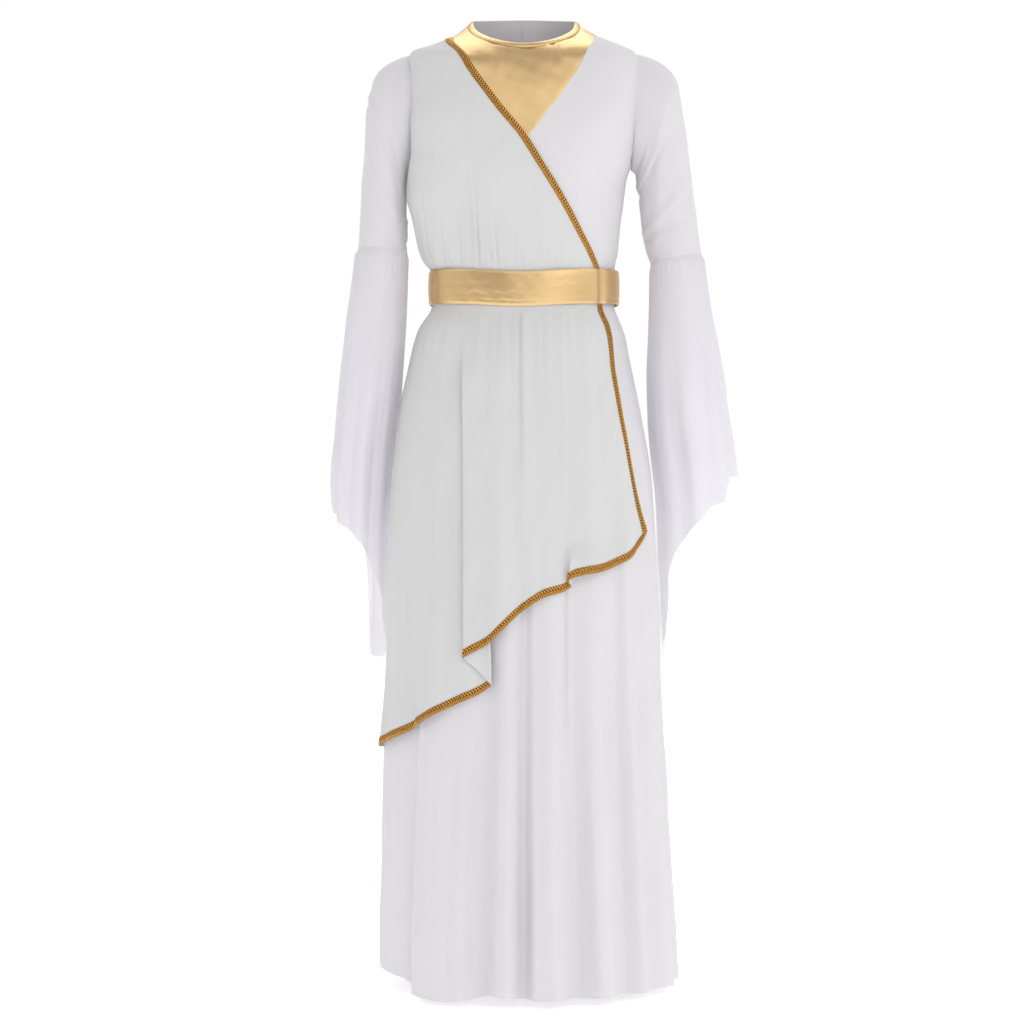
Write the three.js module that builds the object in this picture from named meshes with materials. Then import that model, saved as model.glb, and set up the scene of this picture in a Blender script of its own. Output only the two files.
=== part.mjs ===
// A child's greek goddess costume, filled out as it is worn by a child of about 1.4 m, with no wearer.
// Millimetres, +Z up. The garment faces -Y, and the wearer's left is at +X. The origin is the middle of
// the neck opening, level with the middle of the shoulder seams.
import * as THREE from "three";

// Walls and seams.
const KNIT = 1.2;
const CHIFFON = 1;
const BRAID = 1;
const BELT = 1.2;
const BINDING = 2;
const SEAM_GAP = 0.3;
const HALF_GAP = SEAM_GAP / 2;
const LAYER_GAP = 0.45;
const DRAPE_GAP = 1.2;

// Extra room where braid and belt, which lie flat, span the folds of the cloth.
const SPARE = { braid: 0.3, belt: 0.2 };

// Heights. The waist seam is hidden under the belt.
const WAIST_Z = -270;
const HEM_DROP = 774;
const BELT_TOP_UP = 13;
const BELT_FOOT_DROP = 26;

// The belt is highest behind, and laps over its own start beside the centre back.
const BELT_TILT = { middle: 2, swing: 5.5 };
const BELT_LAP = { start: 0.1, length: 0.36, rise: 0.3 };

// Turns about the body, in radians: 0 is the wearer's left, and the front is at 270 degrees.
const RIGHT_SIDE = Math.PI;
const FRONT = 1.5 * Math.PI;
const BACK = 0.5 * Math.PI;
const LEFT_SIDE = 2 * Math.PI;
const DEGREE = Math.PI / 180;

// How far each layer's middle lies outside the body of the dress.
const BODY_OUT = -KNIT / 2;
const OVERLAY_OUT = DRAPE_GAP + CHIFFON / 2;
const BRAID_OUT = CHIFFON / 2 + LAYER_GAP + BRAID / 2 + SPARE.braid;
const BELT_OUT = OVERLAY_OUT + BRAID_OUT + BRAID / 2 + LAYER_GAP + BELT / 2 + SPARE.belt;

const BRAID_WIDTH = 7.3;

// The body in rings, up from the waist seam: half its width, its depth to the front and to the back,
// the ring's height at the front, the sides and the back, and how boxy it is, with 2 for an ellipse.
const TORSO = table(
  ["up", "half", "front", "back", "front_z", "side_z", "back_z", "boxy"],
  [0, 101, 76, 70, -270, -270, -270, 2.2],
  [18, 101.5, 76.5, 70.5, -252, -252, -252, 2.2],
  [35, 104.5, 79, 74, -235, -235, -235, 2.2],
  [66, 108, 82, 79, -204, -204, -204, 2.2],
  [98, 111, 85, 82, -172, -172, -172, 2.3],
  [137, 120, 86, 85, -133, -133, -133, 2.6],
  [165, 124, 85, 87, -108, -105, -104, 2.9],
  [195, 127, 81, 86, -83, -76, -76, 3.1],
  [225, 128, 75, 84, -61, -46, -48, 3.1],
  [250, 128, 68, 79, -43, -22, -23, 3.0],
  [263, 125, 64, 75, -35, -10, -11, 2.8],
  [280, 110, 59.5, 69, -27, -1.5, 1, 2.6],
  [300, 91, 54.5, 61, -18, 7, 15, 2.4],
  [318, 73, 50.5, 53, -11.5, 16, 27, 2.2],
  [335, 57, 47, 46, -6, 27, 38, 2.0],
);
const NECK_UP = 335;

// How a ring's height eases from the side to the middle, in front and behind: 2 is round, and 1 is steep.
const FRONT_DIP = 2;
const BACK_RISE = 0.8;

// The armhole, as an oval about a ring's side: its lowest and highest ring, and its reach in radians.
const ARMHOLE = { foot: 137, top: 263, reach: 0.3 };

// Rings at which every bodice panel has a row. The V starts at one of them.
const V_FOOT_UP = 154;
const BODICE_ROWS = [
  0, 14, 35, 60, 85, 112, 137, 143, 154, 172, 192, 212, 232, 248, 259, 263, 272, 284, 296, 306,
];
const STRAP_TIP_UP = 310;

// The V inset's edge, as half its width at each ring. It meets the shoulder seam at the top.
const V_EDGE = table(
  ["up", "half"],
  [154, 0],
  [160, 5],
  [178, 17],
  [195, 28],
  [212, 38.8],
  [231, 49.8],
  [250, 61],
  [276, 70],
  [311, 80],
);

// The draped layer's diagonal edge across the bodice: the ring that it crosses at each x.
const DIAGONAL = table(
  ["up", "x"],
  [0, 87.5],
  [16, 81.1],
  [39, 70.9],
  [64, 57.5],
  [95, 40.9],
  [124, 22.4],
  [158, 2.9],
  [188, -17.7],
  [219, -37.3],
  [254, -59.3],
  [276, -70.5],
  [298, -81],
  [308, -83],
);

// How far the draped layer blouses out beside the arm.
const BLOUSE = table(
  ["up", "out"],
  [0, 0],
  [16, 0.1],
  [21, 5],
  [28, 8],
  [47, 12.5],
  [69, 16],
  [98, 20],
  [120, 15],
  [150, 6.5],
  [180, 2.5],
  [212, 0],
  [263, 0],
);

// Gathers that rise from the waist seam of the draped layer: where each one's ridge is, from the side seam
// to the diagonal, how far it stands out and how high it reaches.
const GATHERS = table(
  ["across", "out", "rise"],
  [0.13, 2.6, 85],
  [0.22, 3.4, 120],
  [0.3, 2.2, 60],
  [0.38, 3.6, 130],
  [0.47, 2.6, 95],
  [0.54, 3.4, 110],
  [0.63, 2.4, 70],
  [0.71, 3.2, 90],
  [0.785, 2.2, 60],
  [0.86, 2.6, 45],
);
const GATHER_HALF = 0.036;
const GATHER_RISE = { starts: 10, full: 36, fades: 0.3 };

// Where the blouse stands out, in radians from the side; where the layer is sewn down along the armhole; and
// the little room that it has over the shoulder.
const BLOUSE_REACH = { full: 0.2, fades: 0.3, ends: 0.95 };
const SEWN_EDGE = { share: 0.07, starts: 185, full: 210, sinks: 0.75 };
const SHOULDER_ROOM = { out: 0.5, starts: 225, full: 262, fades: 300, ends: 308 };

// The skirt in rings, down from the waist seam, before its folds.
const SKIRT = table(
  ["drop", "right_half", "left_half", "front", "back", "boxy"],
  [0, 101, 101, 76, 70, 2.2],
  [30.5, 101.3, 101.3, 76.3, 70.3, 2.2],
  [36, 104.4, 104.8, 79, 73.5, 2.2],
  [44, 108, 109, 83, 79, 2.2],
  [56, 111.5, 113, 87.5, 85.5, 2.2],
  [80, 116, 118, 93, 92, 2.15],
  [120, 124, 126.5, 99, 100, 2.1],
  [160, 131.5, 134, 104, 107, 2.1],
  [210, 139, 142, 108, 112, 2.05],
  [270, 143, 146.5, 111, 115, 2],
  [350, 144.5, 149.5, 114, 118, 2],
  [430, 146.5, 151, 117, 121, 2],
  [530, 153.5, 156, 122, 126, 2],
  [630, 156, 161, 128, 131, 2],
  [730, 157, 166, 133, 135, 2],
  [774, 156, 169, 134, 136, 2],
);

// The skirt's folds: the turn of each ridge (out above 0) and valley (out below 0) in degrees, its depth at
// the hem, and the drop at which it starts.
const SKIRT_FOLDS = table(
  ["turn", "out", "starts"],
  [183, 5, 60],
  [191, -4, 120],
  [200, 6, 70],
  [212, -13, 240],
  [230, 9, 120],
  [244, 4, 60],
  [257, -12, 200],
  [266, 7, 90],
  [274, -11, 180],
  [285, 8, 60],
  [297, -12, 230],
  [306, 8, 60],
  [320, -10, 30],
  [328, 5, 30],
  [336, -8, 30],
  [346, 5, 50],
  [353, -3, 160],
  [361, 5, 60],
  [373, -9, 120],
  [385, 7, 40],
  [398, -10, 60],
  [410, 8, 90],
  [422, -7, 40],
  [432, 9, 30],
  [444, -11, 120],
  [456, 6, 60],
  [466, -8, 30],
  [478, 9, 100],
  [491, -12, 80],
  [504, 7, 50],
  [515, -8, 150],
  [526, 6, 40],
  [535, -6, 100],
);

// Rows of the skirt's layers: the upper ones are at fixed drops, and the lower ones share out the rest.
const UPPER_SKIRT_ROWS = [SEAM_GAP, 30.5, 36, 44, 56, 90];
const LOWER_SKIRT_SHARES = [0.11, 0.27, 0.47, 0.73, 1];

// The skirt's hem: its drop round the body, which is a little less at the wearer's right side.
const HEM_LINE = table(
  ["turn", "drop"],
  [0, 773],
  [60, 771],
  [120, 769],
  [168, 763],
  [180, 756],
  [190, 763],
  [203, 764],
  [213, 774],
  [235, 777],
  [257, 769],
  [272, 773],
  [300, 773],
  [345, 773],
  [360, 773],
);

// The draped skirt layer's front edge, as its x at each drop, down to its corner.
const OVERLAY_EDGE = table(
  ["drop", "x"],
  [0, 83],
  [28, 84.5],
  [48, 92],
  [63, 95],
  [96, 98],
  [140, 104.6],
  [184, 112],
  [228, 120.5],
  [274, 132],
);
const CORNER_DROP = 274;

// How far the draped skirt layer puffs out at the wearer's right side.
const PUFF = table(
  ["drop", "out"],
  [0, 0],
  [26, 0.3],
  [50, 6],
  [80, 9],
  [120, 9.5],
  [160, 7],
  [210, 4],
  [300, 2],
  [515, 1.5],
);

// Its hem: the drop at each distance along the cloth from the side seam.
const OVERLAY_HEM = table(
  ["along", "drop"],
  [0, 515],
  [90, 481],
  [165, 440],
  [196, 410],
  [309, 337],
  [330, 322],
  [380, 303],
  [412, 290],
  [430, 274],
);

// Its knife pleats: the x of the fold's edge at the waist and the hem, how deep the fold is at the hem, and
// the drops at which it starts and at which the layers lie flat on each other.
const PLEATS = table(
  ["top_x", "hem_x", "depth", "starts", "closes"],
  [-67, -65, 27, 34, 150],
  [46, 47, 10, 150, 290],
);
const PLEAT_RADIUS = 0.9;
const PLEAT_FADE = 45;
const PLEAT_CLEAR = 4;
const PLEAT_DEEPENS = 0.6;
const PLEAT_FOOT_DROP = 430;

// Steps round each bend of a pleat, and so the stations from one side of the pleat to the other.
const BEND_STEPS = 4;
const PLEAT_STATIONS = 2 * BEND_STEPS + 3;

// Steps of the draped skirt layer before, between and beyond its pleats.
const DRAPE_STEPS = { side: 11, middle: 8, edge: 6 };

// Soft folds of the draped skirt layer between its pleats, by x across the front.
const DRAPE_FOLDS = table(
  ["x", "out", "starts"],
  [-135, 4, 40],
  [-112, 0.5, 60],
  [-92, 4.5, 50],
  [-74, 0, 40],
  [-50, 1, 40],
  [-28, 3.5, 40],
  [-12, 0, 30],
  [2, 4, 30],
  [22, 0.5, 60],
  [36, 0, 60],
  [66, 3.5, 40],
  [84, 0.5, 60],
  [105, 2, 60],
  [140, 0, 60],
);
const DRAPE_FOLD_LENGTH = 260;

// How the draped skirt layer stands off towards the hem in front, and where its puff ends, in radians.
const DRAPE_EASE = { out: 2.6, starts: 60, full: 420, side: 0.1, front: 0.6 };
const PUFF_FADE = { starts: 0.5, ends: 1.3 };

// The upper sleeves in rings from the armhole to the elbow, by share of the length: the outer and the inner
// point of each ring, its middle's y and half its depth.
const SLEEVE_COLUMNS = ["share", "outer_x", "outer_z", "inner_x", "inner_z", "middle_y", "half_depth"];
const RIGHT_SLEEVE = table(
  SLEEVE_COLUMNS,
  [0, 130, -9, 120, -134, 0, 39],
  [0.08, 143, -15.5, 123, -140, 0, 40],
  [0.18, 163, -30.5, 126, -148, 0, 40.5],
  [0.3, 171, -47, 129, -160, 0, 40.5],
  [0.44, 175.5, -72, 131, -174, 0, 40],
  [0.6, 178, -115, 131.5, -191, 0, 39],
  [0.8, 182, -172, 131, -211, 0, 38],
  [1, 186, -229, 131, -231, 0, 37],
);
const LEFT_SLEEVE = table(
  SLEEVE_COLUMNS,
  [0, 131, -9, 120, -134, 0, 39],
  [0.08, 146.5, -15.7, 123, -138, 0, 40],
  [0.18, 165.5, -31, 125.5, -144, 0, 40.5],
  [0.3, 173, -47, 126.5, -154, 0, 40.5],
  [0.44, 178, -75, 128.5, -171, 0, 40],
  [0.6, 183.5, -121, 131, -193, 0, 39],
  [0.8, 191, -178, 135, -219, 0, 38],
  [1, 199, -235, 142, -245, 0, 37],
);

// The sleeve flares in rings by height: where the outer and inner side of each one lie, its
// middle's y and half its depth.
const FLARE_COLUMNS = ["z", "outer", "inner", "middle_y", "half_depth"];
const RIGHT_FLARE = table(
  FLARE_COLUMNS,
  [-700, 214, 158, 58, 54],
  [-620, 214, 156, 58, 58],
  [-540, 213.5, 153, 54, 62],
  [-480, 212.5, 149, 46, 62],
  [-420, 207, 143, 28, 56],
  [-370, 202.5, 137.5, 14, 50],
  [-300, 196, 132.5, 4, 42],
  [-228, 187, 130, 0, 37.5],
);
const LEFT_FLARE = table(
  FLARE_COLUMNS,
  [-700, 234, 160, 58, 54],
  [-620, 236, 157, 58, 58],
  [-540, 238, 153, 54, 62],
  [-480, 235.5, 148, 46, 62],
  [-420, 227.5, 141, 28, 56],
  [-370, 221, 139.5, 14, 50],
  [-300, 209, 141, 4, 42],
  [-234, 200, 142, 0, 37.5],
);

// Each flare's handkerchief hem: its height round the sleeve in degrees from the outer side, by the front,
// the inner side and the back.
const RIGHT_FLARE_HEM = table(
  ["around", "z"],
  [0, -487],
  [9, -492],
  [14, -529],
  [38, -537],
  [62, -548],
  [80, -558],
  [104, -578],
  [135, -612],
  [175, -662],
  [212, -690],
  [245, -690],
  [262, -680],
  [273, -592],
  [284, -556],
  [300, -545],
  [322, -534],
  [340, -524],
  [350, -498],
  [360, -487],
);
const LEFT_FLARE_HEM = table(
  ["around", "z"],
  [0, -478],
  [30, -486],
  [44, -491],
  [50, -514],
  [72, -527],
  [86, -541],
  [100, -554],
  [116, -570],
  [135, -596],
  [160, -640],
  [180, -668],
  [194, -686],
  [208, -678],
  [220, -606],
  [232, -572],
  [246, -560],
  [260, -551],
  [274, -539],
  [288, -525],
  [310, -509],
  [318, -489],
  [335, -484],
  [360, -478],
);

// Folds of both flares round the sleeve, with their depth at the hem.
const FLARE_FOLDS = table(
  ["around", "out"],
  [-12, 5],
  [8, 6],
  [24, -7],
  [44, 7],
  [66, -8],
  [90, 6],
  [112, -6],
  [134, 1],
  [160, -4],
  [188, 0],
  [210, -4],
  [230, 4],
  [250, -6],
  [272, 6],
  [292, -6],
  [312, 6],
  [330, -6],
  [348, 5],
  [368, 6],
);
const FLARE_GATHER = 1.1;
const FLARE_SEAM = 0.06;

// How far a sleeve's head stands off the armhole, and by which share of its length it has its own shape.
const ARMHOLE_CLEAR = 1.2;
const SLEEVE_HEAD = 0.18;

// Surface finishes.
const lilacKnit = finish(0xe0dbe3, 0.75, 0);
const paleChiffon = finish(0xdbdadd, 0.8, 0);
const goldFoil = finish(0xc9a877, 0.4, 0.3);
const goldBraid = finish(0xa97431, 0.45, 0.5);

// Makes rows with named columns from plain lists.
function table(columns, ...rows) {
  return rows.map((row) => Object.fromEntries(columns.map((name, i) => [name, row[i]])));
}

function finish(color, roughness, metalness) {
  return new THREE.MeshStandardMaterial({ color, roughness, metalness, side: THREE.DoubleSide });
}

// A smooth curve through one column of a table against another, with no overshoot between rows.
function curve(rows, from, to) {
  const x = rows.map((row) => row[from]);
  const y = rows.map((row) => row[to]);
  const last = x.length - 1;
  const slopes = x.slice(1).map((value, i) => (y[i + 1] - y[i]) / (value - x[i]));
  const tangents = x.map((_, i) => {
    if (i === 0 || i === last) return slopes[i === 0 ? 0 : last - 1];
    const before = slopes[i - 1];
    const after = slopes[i];
    return before * after > 0 ? (2 * before * after) / (before + after) : 0;
  });
  return (value) => {
    const at = Math.min(Math.max(value, x[0]), x[last]);
    let i = 0;
    while (i < last - 1 && at > x[i + 1]) i += 1;
    const width = x[i + 1] - x[i];
    const t = (at - x[i]) / width;
    const rest = 1 - t;
    return (
      rest * rest * (1 + 2 * t) * y[i] +
      t * rest * rest * width * tangents[i] +
      t * t * (3 - 2 * t) * y[i + 1] -
      t * t * rest * width * tangents[i + 1]
    );
  };
}

function smooth(from, to, value) {
  return THREE.MathUtils.smoothstep(value, from, to);
}

function mix(a, b, t) {
  return a + (b - a) * t;
}

// One smooth curve for each column of a table.
function curves(rows, from) {
  const names = Object.keys(rows[0]).filter((name) => name !== from);
  return Object.fromEntries(names.map((name) => [name, curve(rows, from, name)]));
}

const torsoAt = curves(TORSO, "up");
const skirtAt = curves(SKIRT, "drop");
const vHalfAt = curve(V_EDGE, "up", "half");
const diagonalAt = curve(DIAGONAL, "up", "x");
const blouseAt = curve(BLOUSE, "up", "out");
const overlayEdgeAt = curve(OVERLAY_EDGE, "drop", "x");
const hemLineAt = curve(HEM_LINE, "turn", "drop");
const puffAt = curve(PUFF, "drop", "out");
const overlayHemAt = curve(OVERLAY_HEM, "along", "drop");

// A point of a boxy ring at a turn about the body.
function ringPoint(turn, half, depth, boxy) {
  const c = Math.cos(turn);
  const s = Math.sin(turn);
  const reach = (Math.abs(c / half) ** boxy + Math.abs(s / depth) ** boxy) ** (-1 / boxy);
  return [reach * c, reach * s];
}

function torsoSurface(turn, up) {
  const toFront = Math.sin(turn) < 0;
  const depth = toFront ? torsoAt.front(up) : torsoAt.back(up);
  const [x, y] = ringPoint(turn, torsoAt.half(up), depth, torsoAt.boxy(up));
  const middle = toFront ? torsoAt.front_z(up) : torsoAt.back_z(up);
  const share = Math.abs(Math.sin(turn)) ** (toFront ? FRONT_DIP : BACK_RISE);
  return new THREE.Vector3(x, y, mix(torsoAt.side_z(up), middle, share));
}

function skirtSurface(turn, drop) {
  const half = Math.cos(turn) < 0 ? skirtAt.right_half(drop) : skirtAt.left_half(drop);
  const depth = Math.sin(turn) < 0 ? skirtAt.front(drop) : skirtAt.back(drop);
  const [x, y] = ringPoint(turn, half, depth, skirtAt.boxy(drop));
  return new THREE.Vector3(x, y, WAIST_Z - drop);
}

// The way out of a surface at a point, from its slopes along and across.
function normalOf(surface, turn, level, sense) {
  const step = 0.5;
  const angle = 0.005;
  const along = surface(turn + angle, level).sub(surface(turn - angle, level));
  const across = surface(turn, level + step).sub(surface(turn, level - step));
  return along.cross(across).multiplyScalar(sense).normalize();
}

function torsoPoint(turn, up, out) {
  return torsoSurface(turn, up).addScaledVector(normalOf(torsoSurface, turn, up, 1), out);
}

// The height of the skirt's folds at a turn, eased from each ridge to the next valley.
function skirtFold(turn, drop) {
  const degrees = turn / DEGREE;
  const first = SKIRT_FOLDS[0].turn;
  const at = first + ((((degrees - first) % 360) + 360) % 360);
  const height = (fold) => fold.out * smooth(fold.starts, HEM_DROP * 1.05, drop);
  const after = SKIRT_FOLDS.findIndex((fold) => fold.turn > at);
  const next = after < 0 ? { ...SKIRT_FOLDS[0], turn: first + 360 } : SKIRT_FOLDS[after];
  const last = after < 0 ? SKIRT_FOLDS[SKIRT_FOLDS.length - 1] : SKIRT_FOLDS[after - 1];
  const t = (at - last.turn) / (next.turn - last.turn);
  return mix(height(last), height(next), smooth(0, 1, t));
}

function skirtPoint(turn, drop, out) {
  const normal = normalOf(skirtSurface, turn, drop, -1);
  return skirtSurface(turn, drop).addScaledVector(normal, skirtFold(turn, drop) + out);
}

// The turn on the front at which a surface has the given x.
function turnAt(surface, x, level) {
  let low = RIGHT_SIDE;
  let high = LEFT_SIDE;
  for (let i = 0; i < 40; i += 1) {
    const middle = (low + high) / 2;
    if (surface(middle, level).x < x) low = middle;
    else high = middle;
  }
  return (low + high) / 2;
}

function grid(rows, columns, pointAt) {
  return rows.map((row) => columns.map((column) => pointAt(column, row)));
}

function evenly(from, to, steps) {
  return Array.from({ length: steps + 1 }, (_, i) => mix(from, to, i / steps));
}

// Gives sheets of cloth a wall. The sheets are grids of points on the wall's middle, welded where they meet,
// and every open edge gets a rim.
function wall(sheets, thickness) {
  const points = [];
  const known = new Map();
  const weld = (point) => {
    const key = point.toArray().map((value) => Math.round(value * 1000)).join();
    if (!known.has(key)) {
      known.set(key, points.length);
      points.push(point);
    }
    return known.get(key);
  };
  const faces = [];
  for (const sheet of sheets) {
    const ids = sheet.map((row) => row.map(weld));
    for (let r = 0; r + 1 < ids.length; r += 1) {
      for (let c = 0; c + 1 < ids[r].length; c += 1) {
        const [a, b, d, e] = [ids[r][c], ids[r][c + 1], ids[r + 1][c + 1], ids[r + 1][c]];
        const swap = points[a].distanceTo(points[d]) > points[b].distanceTo(points[e]);
        const pair = swap ? [[a, b, e], [b, d, e]] : [[a, b, d], [a, d, e]];
        faces.push(...pair.filter(([i, j, k]) => i !== j && j !== k && k !== i));
      }
    }
  }
  const normals = points.map(() => new THREE.Vector3());
  const open = new Map();
  for (const [i, j, k] of faces) {
    const side = points[j].clone().sub(points[i]);
    const face = side.cross(points[k].clone().sub(points[i]));
    for (const id of [i, j, k]) normals[id].add(face);
    for (const [from, to] of [[i, j], [j, k], [k, i]]) {
      if (!open.delete(`${to},${from}`)) open.set(`${from},${to}`, [from, to]);
    }
  }
  const count = points.length;
  const position = [];
  for (const sense of [1, -1]) {
    points.forEach((point, i) => {
      const normal = normals[i].clone().normalize();
      position.push(...point.clone().addScaledVector(normal, (sense * thickness) / 2).toArray());
    });
  }
  const index = faces.flatMap(([i, j, k]) => [i, j, k, i + count, k + count, j + count]);
  for (const [from, to] of open.values()) {
    index.push(to, from, from + count, to, from + count, to + count);
  }
  const geometry = new THREE.BufferGeometry();
  geometry.setAttribute("position", new THREE.Float32BufferAttribute(position, 3));
  geometry.setIndex(index);
  geometry.computeVertexNormals();
  return geometry;
}

const costume = new THREE.Group();
costume.name = "greek_goddess_costume";

function addPiece(name, geometry, material) {
  const mesh = new THREE.Mesh(geometry, material);
  mesh.name = name;
  costume.add(mesh);
}

// The armhole's reach from the body's side at a ring, in radians.
function armholeReach(up) {
  const middle = (ARMHOLE.foot + ARMHOLE.top) / 2;
  const share = (up - middle) / (ARMHOLE.top - middle);
  return ARMHOLE.reach * Math.sqrt(Math.max(0, 1 - share * share));
}

// How far, in radians, a bodice panel's side edge lies from the body's side: the armhole, or half a seam.
function sideInset(up) {
  return Math.max(HALF_GAP / torsoAt.half(up), armholeReach(up));
}

function mirrored(sheet) {
  return sheet.map((row) => row.map((point) => point.clone().setX(-point.x)).reverse());
}

// The turn of the V's edge on the wearer's right, moved by a distance across the front.
function vEdgeTurn(up, shift) {
  return Math.max(turnAt(torsoSurface, -vHalfOnRows(up) + shift, up), RIGHT_SIDE);
}

function bodiceFront() {
  const rows = [...BODICE_ROWS, STRAP_TIP_UP];
  const half = grid(rows, evenly(0, 1, 10), (across, up) => {
    const start = RIGHT_SIDE + sideInset(up);
    const least = start + 0.6 / torsoAt.half(up);
    const end = up <= V_FOOT_UP ? FRONT : Math.max(vEdgeTurn(up, -HALF_GAP), least);
    return torsoPoint(mix(start, end, across), up, BODY_OUT);
  });
  return wall([half, mirrored(half)], KNIT);
}

function bodiceBack() {
  const rows = [...BODICE_ROWS, 316, 326, NECK_UP];
  return grid(rows, evenly(0, 1, 7), (across, up) => {
    const start = BACK + HALF_GAP / torsoAt.back(up);
    return torsoPoint(mix(start, RIGHT_SIDE - sideInset(up), across), up, BODY_OUT);
  });
}

// The ring at which the neck binding's foot lies. A ring's step is longer at the shoulder than in front.
const BINDING_RINGS = { shoulder: 6.5, front: 15 };

function bindingFoot(turn) {
  return NECK_UP - mix(BINDING_RINGS.shoulder, BINDING_RINGS.front, Math.sin(turn) ** 2);
}

// The V's half width between two rows of the front, which meet its edge by straight lines.
function vHalfOnRows(up) {
  const next = BODICE_ROWS.find((row) => row > V_FOOT_UP);
  const straight = (vHalfAt(next) * (up - V_FOOT_UP)) / (next - V_FOOT_UP);
  return up < next ? straight : vHalfAt(up);
}

// The inset's rows below the neck are the bodice's own, and the upper two ease into the binding's foot.
const INSET = { gap: HALF_GAP + 0.1, last_row: 300, strap_share: 0.55, shoulder_gap: 0.35, front_gap: 1.7 };

function neckInset() {
  const foot = V_FOOT_UP + 3;
  const shares = evenly(0, 1, 12);
  const lower = [foot, ...BODICE_ROWS.filter((up) => up > foot && up < INSET.last_row)];
  const last = lower[lower.length - 1];
  const turnFrom = (start, across) => mix(start, 2 * FRONT - start, across);
  const body = grid(lower, shares, (across, up) =>
    torsoPoint(turnFrom(vEdgeTurn(up, INSET.gap), across), up, BODY_OUT),
  );
  const neckRow = (start, rise) => shares.map((across) => {
    const turn = turnFrom(start, across);
    const gap = mix(INSET.shoulder_gap, INSET.front_gap, Math.sin(turn) ** 2);
    return torsoPoint(turn, mix(last, bindingFoot(turn) - gap, rise), BODY_OUT);
  });
  const seamAt = (up) => RIGHT_SIDE + HALF_GAP / torsoAt.half(up);
  const strapStart = Math.max(vEdgeTurn(STRAP_TIP_UP, INSET.gap), seamAt(STRAP_TIP_UP));
  return wall([[...body, neckRow(strapStart, INSET.strap_share), neckRow(seamAt(NECK_UP), 1)]], KNIT);
}

function neckBinding() {
  const sheet = grid(evenly(0, 1, 2), evenly(0, 1, 20), (across, share) => {
    const seam = HALF_GAP / torsoAt.half(NECK_UP);
    const turn = mix(RIGHT_SIDE + seam, LEFT_SIDE - seam, across);
    return torsoPoint(turn, mix(bindingFoot(turn), NECK_UP, share), BODY_OUT);
  });
  return wall([sheet], BINDING);
}

// The draped bodice layer. down is 0 at the shoulder seam and 1 at the waist; across runs from the armhole
// and the side seam to the diagonal edge.
const SHOULDER_UP = { armhole: 257, diagonal: 308 };
const DEEP_ARMHOLE = { joins: 195, starts: 150, ends: 62, reach: 0.31, seam: 0.02 };

function overlayArmEdge(up) {
  const deep = smooth(DEEP_ARMHOLE.ends, DEEP_ARMHOLE.starts, up) * DEEP_ARMHOLE.reach;
  const lower = up < DEEP_ARMHOLE.joins ? deep : 0;
  const seam = up > SHOULDER_UP.armhole - 2 ? 0 : DEEP_ARMHOLE.seam;
  return Math.max(sideInset(up) + seam, lower);
}

function overlayBodicePoint(across, down, extra) {
  const leftUp = mix(SHOULDER_UP.armhole, 0, down);
  const rightUp = mix(SHOULDER_UP.diagonal, 0, down);
  const up = mix(leftUp, rightUp, across);
  const start = RIGHT_SIDE + overlayArmEdge(leftUp);
  const end = Math.max(turnAt(torsoSurface, diagonalAt(rightUp), rightUp), start);
  const turn = mix(start, end, across);
  const fromSide = turn - RIGHT_SIDE;
  const fading = smooth(BLOUSE_REACH.fades, BLOUSE_REACH.ends, fromSide);
  const beside = smooth(0, BLOUSE_REACH.full, fromSide) * (1 - fading);
  const sewn = (1 - smooth(0, SEWN_EDGE.share, across)) * smooth(SEWN_EDGE.starts, SEWN_EDGE.full, up);
  const room = smooth(SHOULDER_ROOM.starts, SHOULDER_ROOM.full, up);
  const shoulder = SHOULDER_ROOM.out * room * (1 - smooth(SHOULDER_ROOM.fades, SHOULDER_ROOM.ends, up));
  let out = OVERLAY_OUT + blouseAt(up) * beside - SEWN_EDGE.sinks * sewn + shoulder * (1 - sewn);
  for (const gather of GATHERS) {
    const near = Math.max(0, 1 - ((across - gather.across) / GATHER_HALF) ** 2);
    const rise = smooth(GATHER_RISE.starts, GATHER_RISE.full, up);
    out += gather.out * near * near * rise * (1 - smooth(GATHER_RISE.fades, 1, up / gather.rise));
  }
  return torsoPoint(turn, up, out + extra);
}

const OVERLAY_BODICE_ROWS = [
  0, 0.025, 0.06, 0.11, 0.18, 0.27, 0.39, 0.5, 0.6, 0.7, 0.79, 0.86, 0.91, 0.936, 1,
];

function overlayBodice() {
  const sheet = grid(OVERLAY_BODICE_ROWS.toReversed(), evenly(0, 1, 34), (across, down) =>
    overlayBodicePoint(across, down, 0),
  );
  return wall([sheet], CHIFFON);
}

// A strip of braid along an edge. edgeAt gives the layer's edge at a share of its length, and inwardAt a
// point just inside that edge.
function braidStrip(edgeAt, inwardAt, shares, step, flip) {
  const rows = shares.map((share) => {
    const edge = edgeAt(share);
    const inward = inwardAt(share).sub(edge);
    const before = edgeAt(Math.max(share - step, shares[0]));
    const ahead = edgeAt(Math.min(share + step, shares[shares.length - 1])).sub(before).normalize();
    inward.addScaledVector(ahead, -inward.dot(ahead)).normalize();
    return [0, BRAID_WIDTH].map((width) => edge.clone().addScaledVector(inward, width));
  });
  return wall([flip ? rows.map((row) => row.reverse()) : rows], BRAID);
}

// The braid along the diagonal, from just under the shoulder seam to just inside the belt.
function braidBodice() {
  const edgeAt = (down) => overlayBodicePoint(1, down, BRAID_OUT);
  const inwardAt = (down) => overlayBodicePoint(0.96, down, BRAID_OUT);
  return braidStrip(edgeAt, inwardAt, evenly(0.03, 0.968, 24), 0.01, true);
}

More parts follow.
